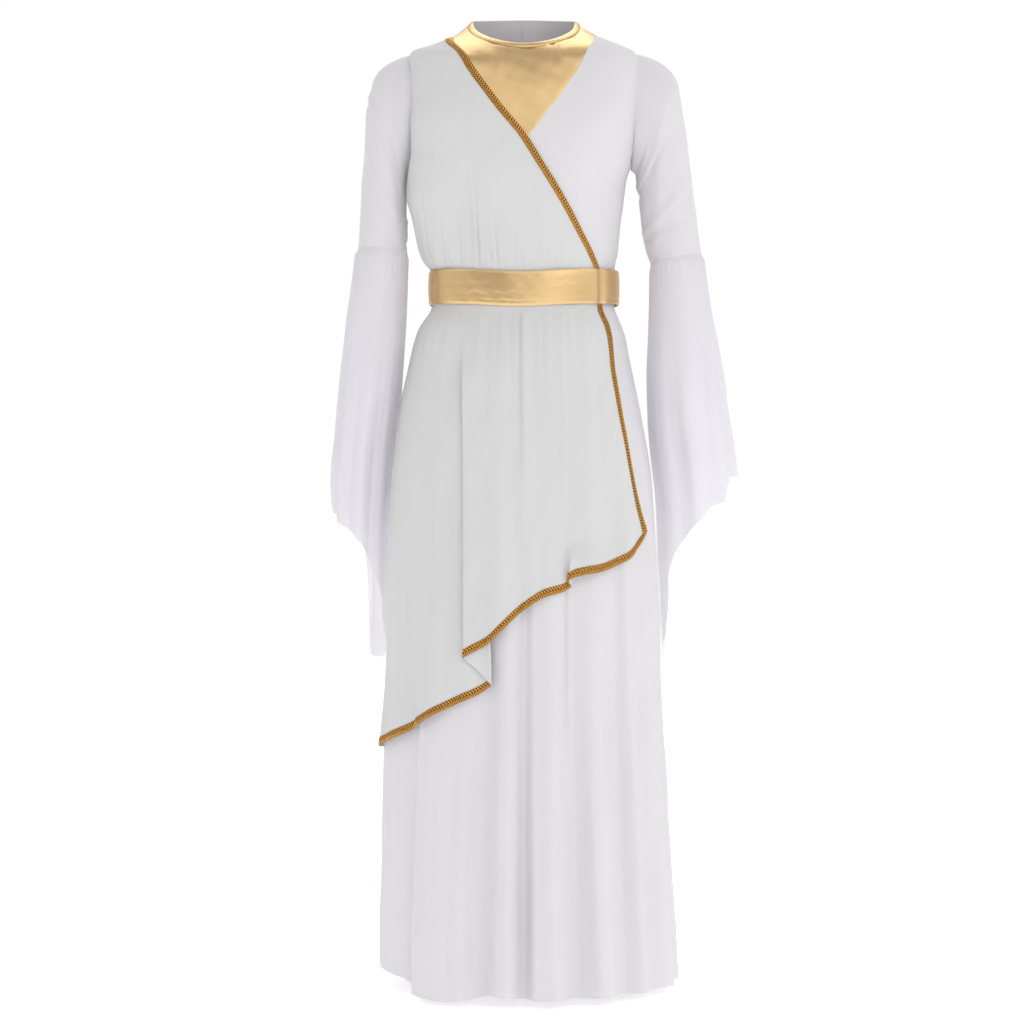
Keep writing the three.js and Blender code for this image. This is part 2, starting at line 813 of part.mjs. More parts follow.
function belt() {
  const start = BACK + BELT_LAP.start;
  const turns = evenly(start, start + LEFT_SIDE + BELT_LAP.length, 56);
  const lapAt = (turn) => smooth(LEFT_SIDE - BELT_LAP.rise, LEFT_SIDE, turn - start) * (BELT + LAYER_GAP);
  const levels = [-BELT_FOOT_DROP, (BELT_TOP_UP - BELT_FOOT_DROP) / 2, BELT_TOP_UP];
  const sheet = grid(levels, turns, (turn, level) => {
    const round = turn % LEFT_SIDE;
    const swing = BELT_TILT.swing * Math.sin(round) * Math.abs(Math.sin(round));
    return torsoPoint(round, 0, BELT_OUT + lapAt(turn)).setZ(WAIST_Z + level + BELT_TILT.middle + swing);
  });
  return wall([sheet], BELT);
}

function skirtPanel(from, to) {
  const marks = SKIRT_FOLDS.flatMap((fold) => [fold.turn, fold.turn - 360])
    .map((degrees) => degrees * DEGREE)
    .filter((turn) => turn > from + 0.03 && turn < to - 0.03)
    .sort((a, b) => a - b);
  const seam = HALF_GAP / 100;
  const ends = [from + seam, ...marks, to - seam];
  const turns = ends.slice(1).flatMap((turn, i) => evenly(ends[i], turn, 3).slice(i === 0 ? 0 : 1));
  const upperRows = UPPER_SKIRT_ROWS.map((drop) => () => drop);
  const last = UPPER_SKIRT_ROWS[UPPER_SKIRT_ROWS.length - 1];
  const lowerRows = LOWER_SKIRT_SHARES.map((share) => (turn) => mix(last, hemLineAt(turn / DEGREE), share));
  const rows = [...upperRows, ...lowerRows].reverse();
  return wall([grid(rows, turns, (turn, dropAt) => skirtPoint(turn, dropAt(turn), BODY_OUT))], KNIT);
}

// The draped skirt layer's height over the skirt, without its pleats.
function drapeOut(turn, x, drop) {
  const fromSide = turn - RIGHT_SIDE;
  const puff = puffAt(drop) * (1 - smooth(PUFF_FADE.starts, PUFF_FADE.ends, fromSide));
  const towardsFront = smooth(DRAPE_EASE.side, DRAPE_EASE.front, fromSide);
  const free = DRAPE_EASE.out * smooth(DRAPE_EASE.starts, DRAPE_EASE.full, drop) * towardsFront;
  const after = Math.max(1, DRAPE_FOLDS.findIndex((fold) => fold.x > x));
  const last = DRAPE_FOLDS[after - 1];
  const next = DRAPE_FOLDS[after];
  const height = (fold) => fold.out * smooth(fold.starts, fold.starts + DRAPE_FOLD_LENGTH, drop);
  const t = THREE.MathUtils.clamp((x - last.x) / (next.x - last.x), 0, 1);
  return OVERLAY_OUT + puff + free + mix(height(last), height(next), smooth(0, 1, t));
}

// The path of one pleat across the front at a drop, from its lower layer to its upper layer.
function pleatPath(pleat, drop) {
  const turned = Math.PI * smooth(pleat.starts, pleat.closes, drop);
  const deepens = mix(pleat.starts, pleat.closes, PLEAT_DEEPENS);
  const depth = pleat.depth * smooth(deepens, PLEAT_FOOT_DROP, drop);
  const edge = mix(pleat.top_x, pleat.hem_x, drop / PLEAT_FOOT_DROP);
  const path = [{ x: edge - depth * Math.cos(turned), out: 0 }];
  const bend = (sense) => {
    const step = (turned * PLEAT_RADIUS) / BEND_STEPS;
    for (let i = 0; i < BEND_STEPS; i += 1) {
      const share = (i + 0.5) / BEND_STEPS;
      const heading = turned * (sense > 0 ? share : 1 - share);
      const last = path[path.length - 1];
      path.push({ x: last.x + step * Math.cos(heading), out: last.out + step * Math.sin(heading) });
    }
  };
  bend(1);
  const last = path[path.length - 1];
  path.push({ x: last.x + depth * Math.cos(turned), out: last.out + depth * Math.sin(turned) });
  bend(-1);
  return path;
}

// Every station across the draped skirt layer at a drop: its turn and how far it lies out.
function drapeStations(drop) {
  const turnOf = (x) => turnAt(skirtSurface, x, drop);
  const [first, second] = PLEATS.map((pleat) => pleatPath(pleat, drop));
  const lift = (path, x) => {
    const end = path[path.length - 1];
    return end.out * (1 - smooth(end.x + 0.7 * PLEAT_FADE, end.x + 1.7 * PLEAT_FADE, x));
  };
  const stations = [];
  const seam = RIGHT_SIDE + HALF_GAP / 100;
  const beforePleat = turnOf(first[0].x - PLEAT_CLEAR);
  for (const turn of evenly(seam, beforePleat, DRAPE_STEPS.side)) stations.push({ turn, over: 0 });
  stations.push({ turn: turnOf(first[0].x), over: 0 });
  for (const { x, out } of first.slice(1)) stations.push({ turn: turnOf(x), over: out });
  const pleatEnd = first[first.length - 1].x;
  const middle = evenly(pleatEnd + PLEAT_CLEAR, second[0].x - PLEAT_CLEAR, DRAPE_STEPS.middle);
  for (const x of [...middle, second[0].x]) stations.push({ turn: turnOf(x), over: lift(first, x) });
  const base = lift(first, second[0].x);
  for (const { x, out } of second.slice(1)) stations.push({ turn: turnOf(x), over: base + out });
  const end = second[second.length - 1];
  const outer = evenly(end.x + PLEAT_CLEAR, overlayEdgeAt(drop), DRAPE_STEPS.edge);
  for (const x of outer) {
    const fade = 1 - smooth(second[0].x + 4, overlayEdgeAt(drop) - 12, x);
    stations.push({ turn: turnOf(x), over: (base + end.out) * fade });
  }
  return stations;
}

// The cloth's own length from the side seam to each station, measured near the hem.
const HEM_LENGTHS = (() => {
  const reference = 400;
  const stations = drapeStations(reference);
  const points = stations.map(({ turn, over }) => skirtPoint(turn, reference, over));
  let along = 0;
  return points.map((point, i) => {
    along += i === 0 ? 0 : point.distanceTo(points[i - 1]);
    return along;
  });
})();
const CLOTH_LENGTH = HEM_LENGTHS[HEM_LENGTHS.length - 1];
const HEM_ENDS = OVERLAY_HEM[OVERLAY_HEM.length - 1].along;

function overlayHemDrop(station) {
  return overlayHemAt((HEM_LENGTHS[station] / CLOTH_LENGTH) * HEM_ENDS);
}

function overlaySkirtPoint(station, drop, extra) {
  const { turn, over } = drapeStations(drop)[station];
  const x = skirtSurface(turn, drop).x;
  return skirtPoint(turn, drop, drapeOut(turn, x, drop) + over + extra);
}

// The drop of each row at a station: the upper rows are the skirt's own, and the rest share out what is left.
const LOWER_DRAPE_ROWS = 6;

function drapeRows(hemDrop) {
  const last = UPPER_SKIRT_ROWS[UPPER_SKIRT_ROWS.length - 1];
  return [...UPPER_SKIRT_ROWS, ...evenly(last, hemDrop, LOWER_DRAPE_ROWS).slice(1)];
}

function overlaySkirt() {
  const stations = HEM_LENGTHS.map((_, i) => i);
  const levels = drapeRows(HEM_DROP).map((_, i) => i).reverse();
  const sheet = grid(levels, stations, (station, level) =>
    overlaySkirtPoint(station, drapeRows(overlayHemDrop(station))[level], 0),
  );
  return wall([sheet], CHIFFON);
}

// The braid down the front edge starts inside the belt, and stands off a little where the skirt fills out.
function braidSkirtEdge() {
  const last = HEM_LENGTHS.length - 1;
  const rows = [BELT_FOOT_DROP - 2, ...drapeRows(CORNER_DROP).slice(1)];
  const halfway = rows.slice(UPPER_SKIRT_ROWS.length - 1, -1).map((drop, i) => {
    return mix(drop, rows[UPPER_SKIRT_ROWS.length + i], 0.5);
  });
  const drops = [...rows, ...halfway].sort((a, b) => a - b);
  const outAt = (drop) => BRAID_OUT + 0.4 * smooth(27, 32, drop) * (1 - smooth(50, 70, drop));
  const edgeAt = (drop) => overlaySkirtPoint(last, drop, outAt(drop));
  const inwardAt = (drop) => overlaySkirtPoint(last - 1, drop, outAt(drop));
  return braidStrip(edgeAt, inwardAt, drops, 2, true);
}

// Braid along the hem between two stations.
function braidHem(from, to) {
  const stations = evenly(from, to, to - from);
  const hemPoint = (station, up) => overlaySkirtPoint(station, overlayHemDrop(station) - up, BRAID_OUT);
  const rows = [0, BRAID_WIDTH].map((up) => stations.map((station) => hemPoint(station, up)));
  return wall([rows], BRAID);
}

// One sleeve. side is -1 for the wearer's right arm and 1 for the left.
function upperSleeve(side, rings) {
  const at = curves(rings, "share");
  const shares = rings.map((ring) => ring.share);
  const around = evenly(0, LEFT_SIDE, 22);
  const sheet = grid(shares, around, (angle, share) => {
    const forward = Math.sin(angle);
    const outward = Math.cos(angle);
    const x = mix(at.inner_x(share), at.outer_x(share), (1 + outward) / 2);
    const z = mix(at.inner_z(share), at.outer_z(share), (1 + outward) / 2);
    const y = at.middle_y(share) - forward * at.half_depth(share);
    const ring = new THREE.Vector3(side * x, y, z);
    const up = mix(ARMHOLE.foot, ARMHOLE.top, (1 + outward) / 2);
    const inset = armholeReach(up) * Math.sign(forward);
    const seam = torsoPoint(side < 0 ? RIGHT_SIDE + inset : LEFT_SIDE - inset, up, BODY_OUT);
    seam.x += side * ARMHOLE_CLEAR;
    return seam.lerp(ring, smooth(0, SLEEVE_HEAD, share));
  });
  return wall([side < 0 ? sheet : sheet.map((row) => row.toReversed())], KNIT);
}

function sleeveFlare(side, rings, hem, elbow) {
  const at = curves(rings, "z");
  const hemAt = curve(hem, "around", "z");
  const foldAt = curve(FLARE_FOLDS, "around", "out");
  const shares = [0, 0.04, 0.14, 0.28, 0.45, 0.63, 0.82, 1];
  const around = evenly(0, 360, 38);
  const sheet = grid(shares, around, (degrees, share) => {
    const angle = degrees * DEGREE;
    const outward = Math.cos(angle);
    const forward = Math.sin(angle);
    const top = mix(elbow.inner_z, elbow.outer_z, (1 + outward) / 2) - SEAM_GAP;
    const z = mix(top, hemAt(degrees), share);
    const half = (at.outer(z) - at.inner(z)) / 2;
    const middle = (at.outer(z) + at.inner(z)) / 2;
    const folds = foldAt(degrees) * smooth(0.03, 1, share);
    const out = FLARE_GATHER * smooth(0, 0.05, share) + folds;
    const x = middle + (half + out) * outward;
    const y = at.middle_y(z) - (at.half_depth(z) + out) * forward;
    const start = new THREE.Vector3(
      side * mix(elbow.inner_x, elbow.outer_x, (1 + outward) / 2),
      elbow.middle_y - forward * elbow.half_depth,
      z,
    );
    return start.lerp(new THREE.Vector3(side * x, y, z), smooth(0, FLARE_SEAM, share));
  });
  return wall([side < 0 ? sheet : sheet.map((row) => row.toReversed())], KNIT);
}

const backHalf = bodiceBack();
addPiece("bodice_front", bodiceFront(), lilacKnit);
addPiece("bodice_back_right", wall([backHalf], KNIT), lilacKnit);
addPiece("bodice_back_left", wall([mirrored(backHalf)], KNIT), lilacKnit);
addPiece("neck_inset", neckInset(), goldFoil);
addPiece("neck_binding", neckBinding(), goldFoil);
addPiece("skirt_front", skirtPanel(RIGHT_SIDE, LEFT_SIDE), lilacKnit);
addPiece("skirt_back", skirtPanel(0, RIGHT_SIDE), lilacKnit);
addPiece("overlay_bodice", overlayBodice(), paleChiffon);
addPiece("overlay_skirt", overlaySkirt(), paleChiffon);
addPiece("braid_bodice", braidBodice(), goldBraid);
addPiece("braid_skirt_edge", braidSkirtEdge(), goldBraid);
const middleStart = DRAPE_STEPS.side + PLEAT_STATIONS;
const middleEnd = middleStart + DRAPE_STEPS.middle;
addPiece("braid_hem_side", braidHem(0, DRAPE_STEPS.side), goldBraid);
addPiece("braid_hem_middle", braidHem(middleStart, middleEnd), goldBraid);
addPiece("braid_hem_front", braidHem(middleEnd + PLEAT_STATIONS, HEM_LENGTHS.length - 2), goldBraid);
addPiece("belt", belt(), goldFoil);
addPiece("sleeve_upper_right", upperSleeve(-1, RIGHT_SLEEVE), lilacKnit);
addPiece("sleeve_upper_left", upperSleeve(1, LEFT_SLEEVE), lilacKnit);
addPiece("sleeve_flare_right", sleeveFlare(-1, RIGHT_FLARE, RIGHT_FLARE_HEM, RIGHT_SLEEVE.at(-1)), lilacKnit);
addPiece("sleeve_flare_left", sleeveFlare(1, LEFT_FLARE, LEFT_FLARE_HEM, LEFT_SLEEVE.at(-1)), lilacKnit);

export default costume;
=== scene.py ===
"""The looks of a child's greek goddess costume, filled out as it is worn, with no wearer.

Sizes are in millimetres of the row frame until a mesh is made: +Z up, the front faces -Y, the wearer's
left is at +X, and the origin is the middle of the neck opening, level with the shoulder seams.
"""
import logging
import math
from collections.abc import Callable
from dataclasses import dataclass
from enum import Enum

import bmesh
import bpy
import numpy as np
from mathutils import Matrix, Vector


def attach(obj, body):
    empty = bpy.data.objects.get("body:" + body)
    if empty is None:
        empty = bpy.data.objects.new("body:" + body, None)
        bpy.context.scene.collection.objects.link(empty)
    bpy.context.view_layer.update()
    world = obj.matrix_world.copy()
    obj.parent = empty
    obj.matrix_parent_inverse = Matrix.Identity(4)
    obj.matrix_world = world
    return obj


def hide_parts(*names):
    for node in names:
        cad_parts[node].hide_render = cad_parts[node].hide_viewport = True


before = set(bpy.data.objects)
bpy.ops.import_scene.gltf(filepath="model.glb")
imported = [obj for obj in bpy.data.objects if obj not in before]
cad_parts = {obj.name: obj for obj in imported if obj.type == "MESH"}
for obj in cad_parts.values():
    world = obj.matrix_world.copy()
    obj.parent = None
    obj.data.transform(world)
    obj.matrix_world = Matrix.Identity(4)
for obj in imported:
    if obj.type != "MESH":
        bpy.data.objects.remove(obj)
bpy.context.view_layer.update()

Array = np.ndarray
Surface = Callable[[Array, Array], Array]
LOG = logging.getLogger("costume")

MM = 0.001
RIGHT_SIDE = math.pi
FRONT = 1.5 * math.pi
BACK = 0.5 * math.pi
LEFT_SIDE = 2 * math.pi
WAIST_Z = -270.0
SEAM_GAP = 0.3
HEM_RAISED = 0.25
STITCH_HALF_WIDTH = 1.3
HEM_DROP = 774.0
NECK_UP = 335.0
V_FOOT_UP = 154.0
STRAP_TIP_UP = 310.0


def table(names: str, *rows: tuple[float, ...]) -> dict[str, Array]:
    """Makes named columns from rows of numbers.

    Args:
        names: The column names, parted by spaces.
        rows: One row of numbers for each line of the table.

    Returns:
        Each column by its name.
    """
    values = np.array(rows, float)
    return {name: values[:, i] for i, name in enumerate(names.split())}


class Curve:
    """A smooth curve through two columns of a table, with no overshoot between its rows."""

    def __init__(self, rows: dict[str, Array], start: str, end: str) -> None:
        """Works out the slope of the curve at each row.

        Args:
            rows: The table.
            start: The column that the curve is read at.
            end: The column that it gives.
        """
        self.x = rows[start]
        self.y = rows[end]
        slopes = np.diff(self.y) / np.diff(self.x)
        before, after = slopes[:-1], slopes[1:]
        total = np.where(before + after == 0, 1, before + after)
        inner = np.where(before * after > 0, 2 * before * after / total, 0)
        self.slope = np.concatenate([slopes[:1], inner, slopes[-1:]])

    def __call__(self, value: Array) -> Array:
        """Reads the curve at each value.

        Args:
            value: Places in the column that the curve is read at.

        Returns:
            The values of the other column there.
        """
        at = np.clip(value, self.x[0], self.x[-1])
        i = np.clip(np.searchsorted(self.x, at, side="right") - 1, 0, len(self.x) - 2)
        width = self.x[i + 1] - self.x[i]
        t = (at - self.x[i]) / width
        rest = 1 - t
        low = rest * rest * ((1 + 2 * t) * self.y[i] + t * width * self.slope[i])
        high = t * t * ((3 - 2 * t) * self.y[i + 1] - rest * width * self.slope[i + 1])
        return low + high


def smooth(start: float | Array, end: float | Array, value: Array) -> Array:
    """Eases from 0 at start to 1 at end."""
    t = np.clip((value - start) / (end - start), 0, 1)
    return t * t * (3 - 2 * t)


def mix(a: float | Array, b: float | Array, t: float | Array) -> Array:
    """Gives the value at share t of the way from a to b."""
    return a + (b - a) * t


def bump(value: Array) -> Array:
    """Gives a soft ridge that is 1 at 0 and ends at -1 and 1."""
    return np.clip(1 - value * value, 0, 1) ** 2


# The body in rings, up from the waist seam, as in the solids: half width, depth in front and behind, the
# ring's height at the front, the sides and the back, and how boxy it is.
TORSO = table(
    "up half front back front_z side_z back_z boxy",
    (0, 101, 76, 70, -270, -270, -270, 2.2),
    (18, 101.5, 76.5, 70.5, -252, -252, -252, 2.2),
    (35, 104.5, 79, 74, -235, -235, -235, 2.2),
    (66, 108, 82, 79, -204, -204, -204, 2.2),
    (98, 111, 85, 82, -172, -172, -172, 2.3),
    (137, 120, 86, 85, -133, -133, -133, 2.6),
    (165, 124, 85, 87, -108, -105, -104, 2.9),
    (195, 127, 81, 86, -83, -76, -76, 3.1),
    (225, 128, 75, 84, -61, -46, -48, 3.1),
    (250, 128, 68, 79, -43, -22, -23, 3.0),
    (263, 125, 64, 75, -35, -10, -11, 2.8),
    (280, 110, 59.5, 69, -27, -1.5, 1, 2.6),
    (300, 91, 54.5, 61, -18, 7, 15, 2.4),
    (318, 73, 50.5, 53, -11.5, 16, 27, 2.2),
    (335, 57, 47, 46, -6, 27, 38, 2.0),
)
TORSO_AT = {name: Curve(TORSO, "up", name) for name in TORSO if name != "up"}
BACK_RISE = 0.8

# How a ring's height eases from the side to the middle in front: round below, and steep at the neck.
FRONT_DIP = 2.0
NECK_DIP = 0.8

# The shoulders aren't level: the draped one hangs lower. For each side: the lift of its ring in height,
# the ring where the lift is most, and how many rings it fades over.
SHOULDER_LIFTS = table("side lift up half", (-1, -3.6, 288, 46), (1, -0.6, 262, 34))

# The armhole, as an oval about a ring's side: its lowest and highest ring, and its reach in radians.
ARMHOLE_FOOT = 137.0
ARMHOLE_TOP = 263.0
ARMHOLE_REACH = 0.3

# The V inset's edge, and the draped layer's diagonal edge across the bodice.
V_HALF_AT = Curve(table("up half", (154, 0), (160, 5), (178, 17), (195, 28), (212, 38.8), (231, 49.8),
                        (250, 61), (276, 70), (311, 80)), "up", "half")
DIAGONAL_AT = Curve(table("up x", (0, 87.5), (16, 81.1), (39, 70.9), (64, 57.5), (95, 40.9), (124, 22.4),
                          (158, 2.9), (188, -17.7), (219, -37.3), (254, -58.3), (276, -68.5), (298, -77.5),
                          (308, -80)), "up", "x")
BLOUSE_AT = Curve(table("up out", (0, 0), (16, 0.1), (21, 5), (28, 8), (47, 12.5), (69, 16), (98, 20),
                        (120, 15), (150, 6.5), (180, 2.5), (212, 0), (263, 0)), "up", "out")

# Drag lines of the bodice, on both sides and behind too: where each one starts and ends, its half width
# and its height.
DRAG_LINES = table(
    "x0 z0 x1 z1 half out",
    (121, -142, 92, -176, 7, -1.5),
    (119, -150, 100, -204, 6, 1.1),
    (122, -128, 88, -138, 7, -1.0),
    (112, -225, 84, -250, 6, 0.9),
    (98, -240, 62, -256, 6, -0.8),
)

# Upright creases of the V inset: x and its lean, half width, height, and the lowest z where it shows.
INSET_CREASES = table(
    "x lean half out low",
    (26, 3, 3, 0.7, -42),
    (33, 5, 2.4, -0.6, -38),
    (-24, -3, 4, 0.5, -46),
    (8, 1, 6, -0.4, -60),
    (38, 9, 3, 0.5, -34),
)

# The section of the neck binding, from its foot over the edge and back in: how far up it lies, and out.
BINDING = table(
    "at share out",
    (0, 0.0, 0.1), (1, 0.12, 0.75), (2, 0.35, 1.05), (3, 0.65, 1.1), (4, 0.88, 0.85), (5, 1.0, 0.2),
    (6, 1.0, -0.6), (7, 0.85, -1.1), (8, 0.5, -1.25), (9, 0.15, -1.15),
)

# Gathers that rise from the waist in the draped bodice layer: x at the foot and the top, height, half
# width, and how far up each one reaches.
GATHERS = table(
    "foot top out half reach",
    (-101, -107, 1.6, 2.4, 110),
    (-95, -100, -1.3, 2.2, 130),
    (-89, -92, 1.2, 2.4, 70),
    (-82, -88, -1.1, 2, 95),
    (-74, -80, 0.9, 2.6, 60),
    (-67, -70, -1.0, 2, 105),
    (-60, -62, 0.8, 2.2, 50),
    (-51, -60, 1.5, 2.6, 140),
    (-46, -56, -1.3, 1.8, 125),
    (-39, -41, 0.7, 2.2, 55),
    (-31, -41, 1.2, 2.4, 90),
    (-26, -35, -1.1, 1.8, 80),
    (-17, -19, 0.7, 2.2, 45),
    (-8, -12, -0.8, 1.9, 70),
    (2, -3, 0.8, 2.6, 60),
    (12, 9, -0.7, 2, 50),
    (23, 18, 0.8, 2.6, 66),
    (33, 31, -0.7, 2, 40),
    (43, 40, 0.7, 2.4, 52),
    (54, 52, -0.6, 2, 36),
    (63, 62, 0.6, 2.2, 30),
)

# The skirt in rings, down from the waist seam, before its folds.
SKIRT = table(
    "drop right_half left_half front back boxy",
    (0, 101, 101, 76, 70, 2.2),
    (24, 101.3, 101.3, 76.3, 70.3, 2.2),
    (30.5, 103.4, 103.6, 78.4, 72.6, 2.2),
    (36, 105.4, 105.9, 80.6, 75.4, 2.2),
    (44, 108.2, 109.2, 84, 80, 2.2),
    (56, 111.8, 113.3, 88, 86, 2.2),
    (80, 116, 118, 93, 92, 2.15),
    (120, 124, 126.5, 99, 100, 2.1),
    (160, 131.5, 134, 104, 107, 2.1),
    (210, 139, 142, 108, 112, 2.05),
    (270, 143, 146.5, 111, 115, 2),
    (350, 144.5, 149.5, 114, 118, 2),
    (430, 146.5, 151, 117, 121, 2),
    (530, 153.5, 156, 122, 126, 2),
    (630, 156, 161, 128, 131, 2),
    (730, 157, 166, 133, 135, 2),
    (774, 156, 169, 134, 136, 2),
)
SKIRT_AT = {name: Curve(SKIRT, "drop", name) for name in SKIRT if name != "drop"}

# The skirt's folds: each ridge's and valley's turn in degrees, its depth at the hem, where it starts.
SKIRT_FOLDS = table(
    "turn out starts",
    (183, 5, 60), (192, -5, 120), (202, -9, 200), (211.5, -14, 240), (216, 4, 240), (228, 8, 120),
    (239, 4, 60), (249.5, -12, 180), (261, 8, 90), (270.5, -14, 150), (275, 3, 200), (283, 8, 60),
    (295.5, -12, 200), (306, 8, 60), (319, -10, 30), (326, 5, 30), (333, -8, 30), (344, 5, 50),
    (353, -3, 160), (361, 5, 60),
    (373, -9, 120), (385, 7, 40), (398, -10, 60), (410, 8, 90), (422, -7, 40), (432, 9, 30),
    (444, -11, 120), (456, 6, 60), (466, -8, 30), (478, 9, 100), (491, -12, 80), (504, 7, 50),
    (515, -8, 150), (526, 6, 40), (535, -6, 100),
)

# Narrow creases of the skirt, between its folds: the turn at the top and the foot, height (in below 0),
# half width in degrees, and the drops between which each one shows.
SKIRT_CREASES = table(
    "top foot out half starts ends",
    (221, 223, 1.6, 4, 420, 830),
    (236, 234, -1.6, 3, 480, 830),
    (244, 244, -1.6, 2.4, 460, 830),
    (258, 257, 1.2, 2.6, 420, 830),
    (268, 268, -1.6, 1.6, 260, 830),
    (288, 287, -1.4, 2.6, 380, 760),
    (294, 290, -2.6, 1.9, 250, 560),
    (301, 303, 1.6, 3, 460, 830),
    (312, 314, -1.8, 3.4, 300, 640),
    (324, 325, 1.4, 3, 180, 520),
    (341, 343, -1.6, 3, 160, 600),
    (357, 356, 1.6, 3.4, 260, 830),
    (368, 370, 1.5, 3, 300, 830),
    (380, 377, -1.5, 2.6, 120, 520),
    (392, 395, 1.6, 3, 420, 830),
    (404, 402, -1.6, 2.8, 260, 700),
    (416, 419, 1.5, 2.8, 120, 480),
    (427, 425, -1.8, 2.6, 380, 830),
    (438, 441, 1.6, 3, 90, 560),
    (450, 448, -1.5, 2.6, 300, 760),
    (461, 463, 1.5, 2.8, 460, 830),
    (472, 470, -1.7, 2.8, 150, 540),
    (485, 487, 1.6, 3, 380, 830),
    (498, 495, -1.5, 2.8, 220, 640),
    (510, 512, 1.4, 2.6, 420, 830),
    (521, 519, -1.6, 2.6, 120, 520),
    (531, 532, 1.5, 2.8, 300, 760),
)

# Small gathers where the skirt is sewn to the waist, round the whole body.
WAIST_GATHER_STEP = 7.3
WAIST_GATHER_OUT = 0.16

HEM_LINE_AT = Curve(table("turn drop", (0, 773), (60, 771), (120, 769), (168, 763), (180, 756), (190, 763),
                          (203, 764), (213, 774), (235, 777), (257, 769), (272, 773), (300, 773),
                          (345, 773), (360, 773)), "turn", "drop")

# The draped skirt layer: its front edge, its puff at the side and its hem along the cloth.
OVERLAY_EDGE_AT = Curve(table("drop x", (0, 83), (28, 84.5), (48, 92), (63, 95), (96, 98), (140, 104.6),
                              (184, 112), (228, 120.5), (274, 132)), "drop", "x")
PUFF_AT = Curve(table("drop out", (0, 0), (26, 0.3), (50, 6), (80, 9), (120, 9.5), (160, 7), (210, 4),
                      (300, 2), (515, 1.5)), "drop", "out")
OVERLAY_HEM_AT = Curve(table("along drop", (0, 515), (60, 495), (90, 481), (130, 460), (165, 440),
                             (196, 410), (224, 392.5), (248, 370), (268, 354), (284, 344), (309, 336.5),
                             (330, 322), (370, 314), (395, 303.5), (420, 287), (430, 274)), "along", "drop")
OVERLAY_HEM_END = 430.0

# Soft folds of the draped skirt layer between its pleats, by x across the front.
DRAPE_FOLDS = table(
    "x out starts",
    (-135, 4, 40), (-112, 0.5, 60), (-92, 4.5, 50), (-74, 0, 40), (-50, 1, 40), (-28, 3.5, 40),
    (-12, 0, 30), (2, 4, 30), (22, 0.5, 60), (36, 0, 60), (66, 3.5, 40), (84, 0.5, 60), (105, 2, 60),
    (140, 0, 60),
)

# Narrow creases of the draped skirt layer, by x at the top and the foot, and the share of its height in
# the table that each one stands out.
CREASE_SHARE = 0.65
DRAPE_CREASES = table(
    "top foot out half starts ends",
    (-96, -118, 1.3, 5, 30, 210),
    (-84, -100, -1.2, 4, 34, 300),
    (-78, -86, 1.2, 4, 30, 130),
    (-58, -60, -1.3, 4, 30, 120),
    (-47, -50, 1.3, 4, 28, 150),
    (-38, -40, -1.2, 4, 30, 260),
    (-24, -25, 1.2, 4, 28, 100),
    (-14, -16, -1.4, 4.5, 28, 210),
    (-5, -4, -2.5, 3.0, 30, 250),
    (-1, 1, 2.4, 4.0, 28, 300),
    (10, 13, -1.1, 5, 30, 240),
    (24, 29, 1.3, 5, 28, 170),
    (40, 44, 1.2, 5, 28, 330),
    (55, 60, -1.2, 4, 28, 130),
    (64, 76, 1.2, 5, 28, 240),
    (76, 92, -1.1, 5, 40, 300),
)

SLEEVE_COLUMNS = "share outer_x outer_z inner_x inner_z half_depth"
RIGHT_SLEEVE = table(
    SLEEVE_COLUMNS,
    (0, 130, -9, 120, -134, 39),
    (0.08, 143, -15.5, 123, -140, 40),
    (0.18, 163, -30.5, 126, -148, 40.5),
    (0.3, 171, -47, 129, -160, 40.5),
    (0.44, 175.5, -72, 131, -174, 40),
    (0.6, 178, -115, 131.5, -191, 39),
    (0.8, 182, -172, 131, -211, 38),
    (1, 186, -229, 131, -231, 37),
)
LEFT_SLEEVE = table(
    SLEEVE_COLUMNS,
    (0, 131, -9, 120, -134, 39),
    (0.08, 146.5, -15.7, 123, -138, 40),
    (0.18, 165.5, -31, 125.5, -144, 40.5),
    (0.3, 173, -47, 126.5, -154, 40.5),
    (0.44, 178, -75, 128.5, -171, 40),
    (0.6, 183.5, -121, 131, -193, 39),
    (0.8, 191, -178, 135, -219, 38),
    (1, 199, -235, 142, -245, 37),
)

# Slanting creases of the upper sleeve: the share of its length, the slant, half width and height.
ARM_CREASES = table(
    "share slope half out",
    (0.32, 0.05, 0.05, 1.3),
    (0.47, -0.06, 0.04, -1.1),
    (0.7, 0.04, 0.045, 1.2),
    (0.86, -0.05, 0.035, -1.0),
)

FLARE_COLUMNS = "z outer inner middle_y half_depth"
RIGHT_FLARE = table(
    FLARE_COLUMNS,
    (-700, 214, 158, 58, 54),
    (-620, 214, 156, 58, 58),
    (-540, 213.5, 153, 54, 62),
    (-480, 212.5, 149, 46, 62),
    (-420, 207, 143, 28, 56),
    (-370, 202.5, 137.5, 14, 50),
    (-300, 196, 132.5, 4, 42),
    (-228, 187, 130, 0, 37.5),
)
LEFT_FLARE = table(
    FLARE_COLUMNS,
    (-700, 234, 160, 58, 54),
    (-620, 236, 157, 58, 58),
    (-540, 238, 153, 54, 62),
    (-480, 235.5, 148, 46, 62),
    (-420, 227.5, 141, 28, 56),
    (-370, 221, 139.5, 14, 50),
    (-300, 209, 141, 4, 42),
    (-234, 200, 142, 0, 37.5),
)
RIGHT_FLARE_HEM = table(
    "around z",
    (0, -487), (9, -492), (14, -522), (38, -531), (62, -541), (80, -549), (104, -566), (135, -606),
    (175, -662), (210, -690), (241, -690), (256, -680), (266, -592), (278, -556), (296, -545),
    (320, -534), (340, -522), (350, -498), (360, -487),
)
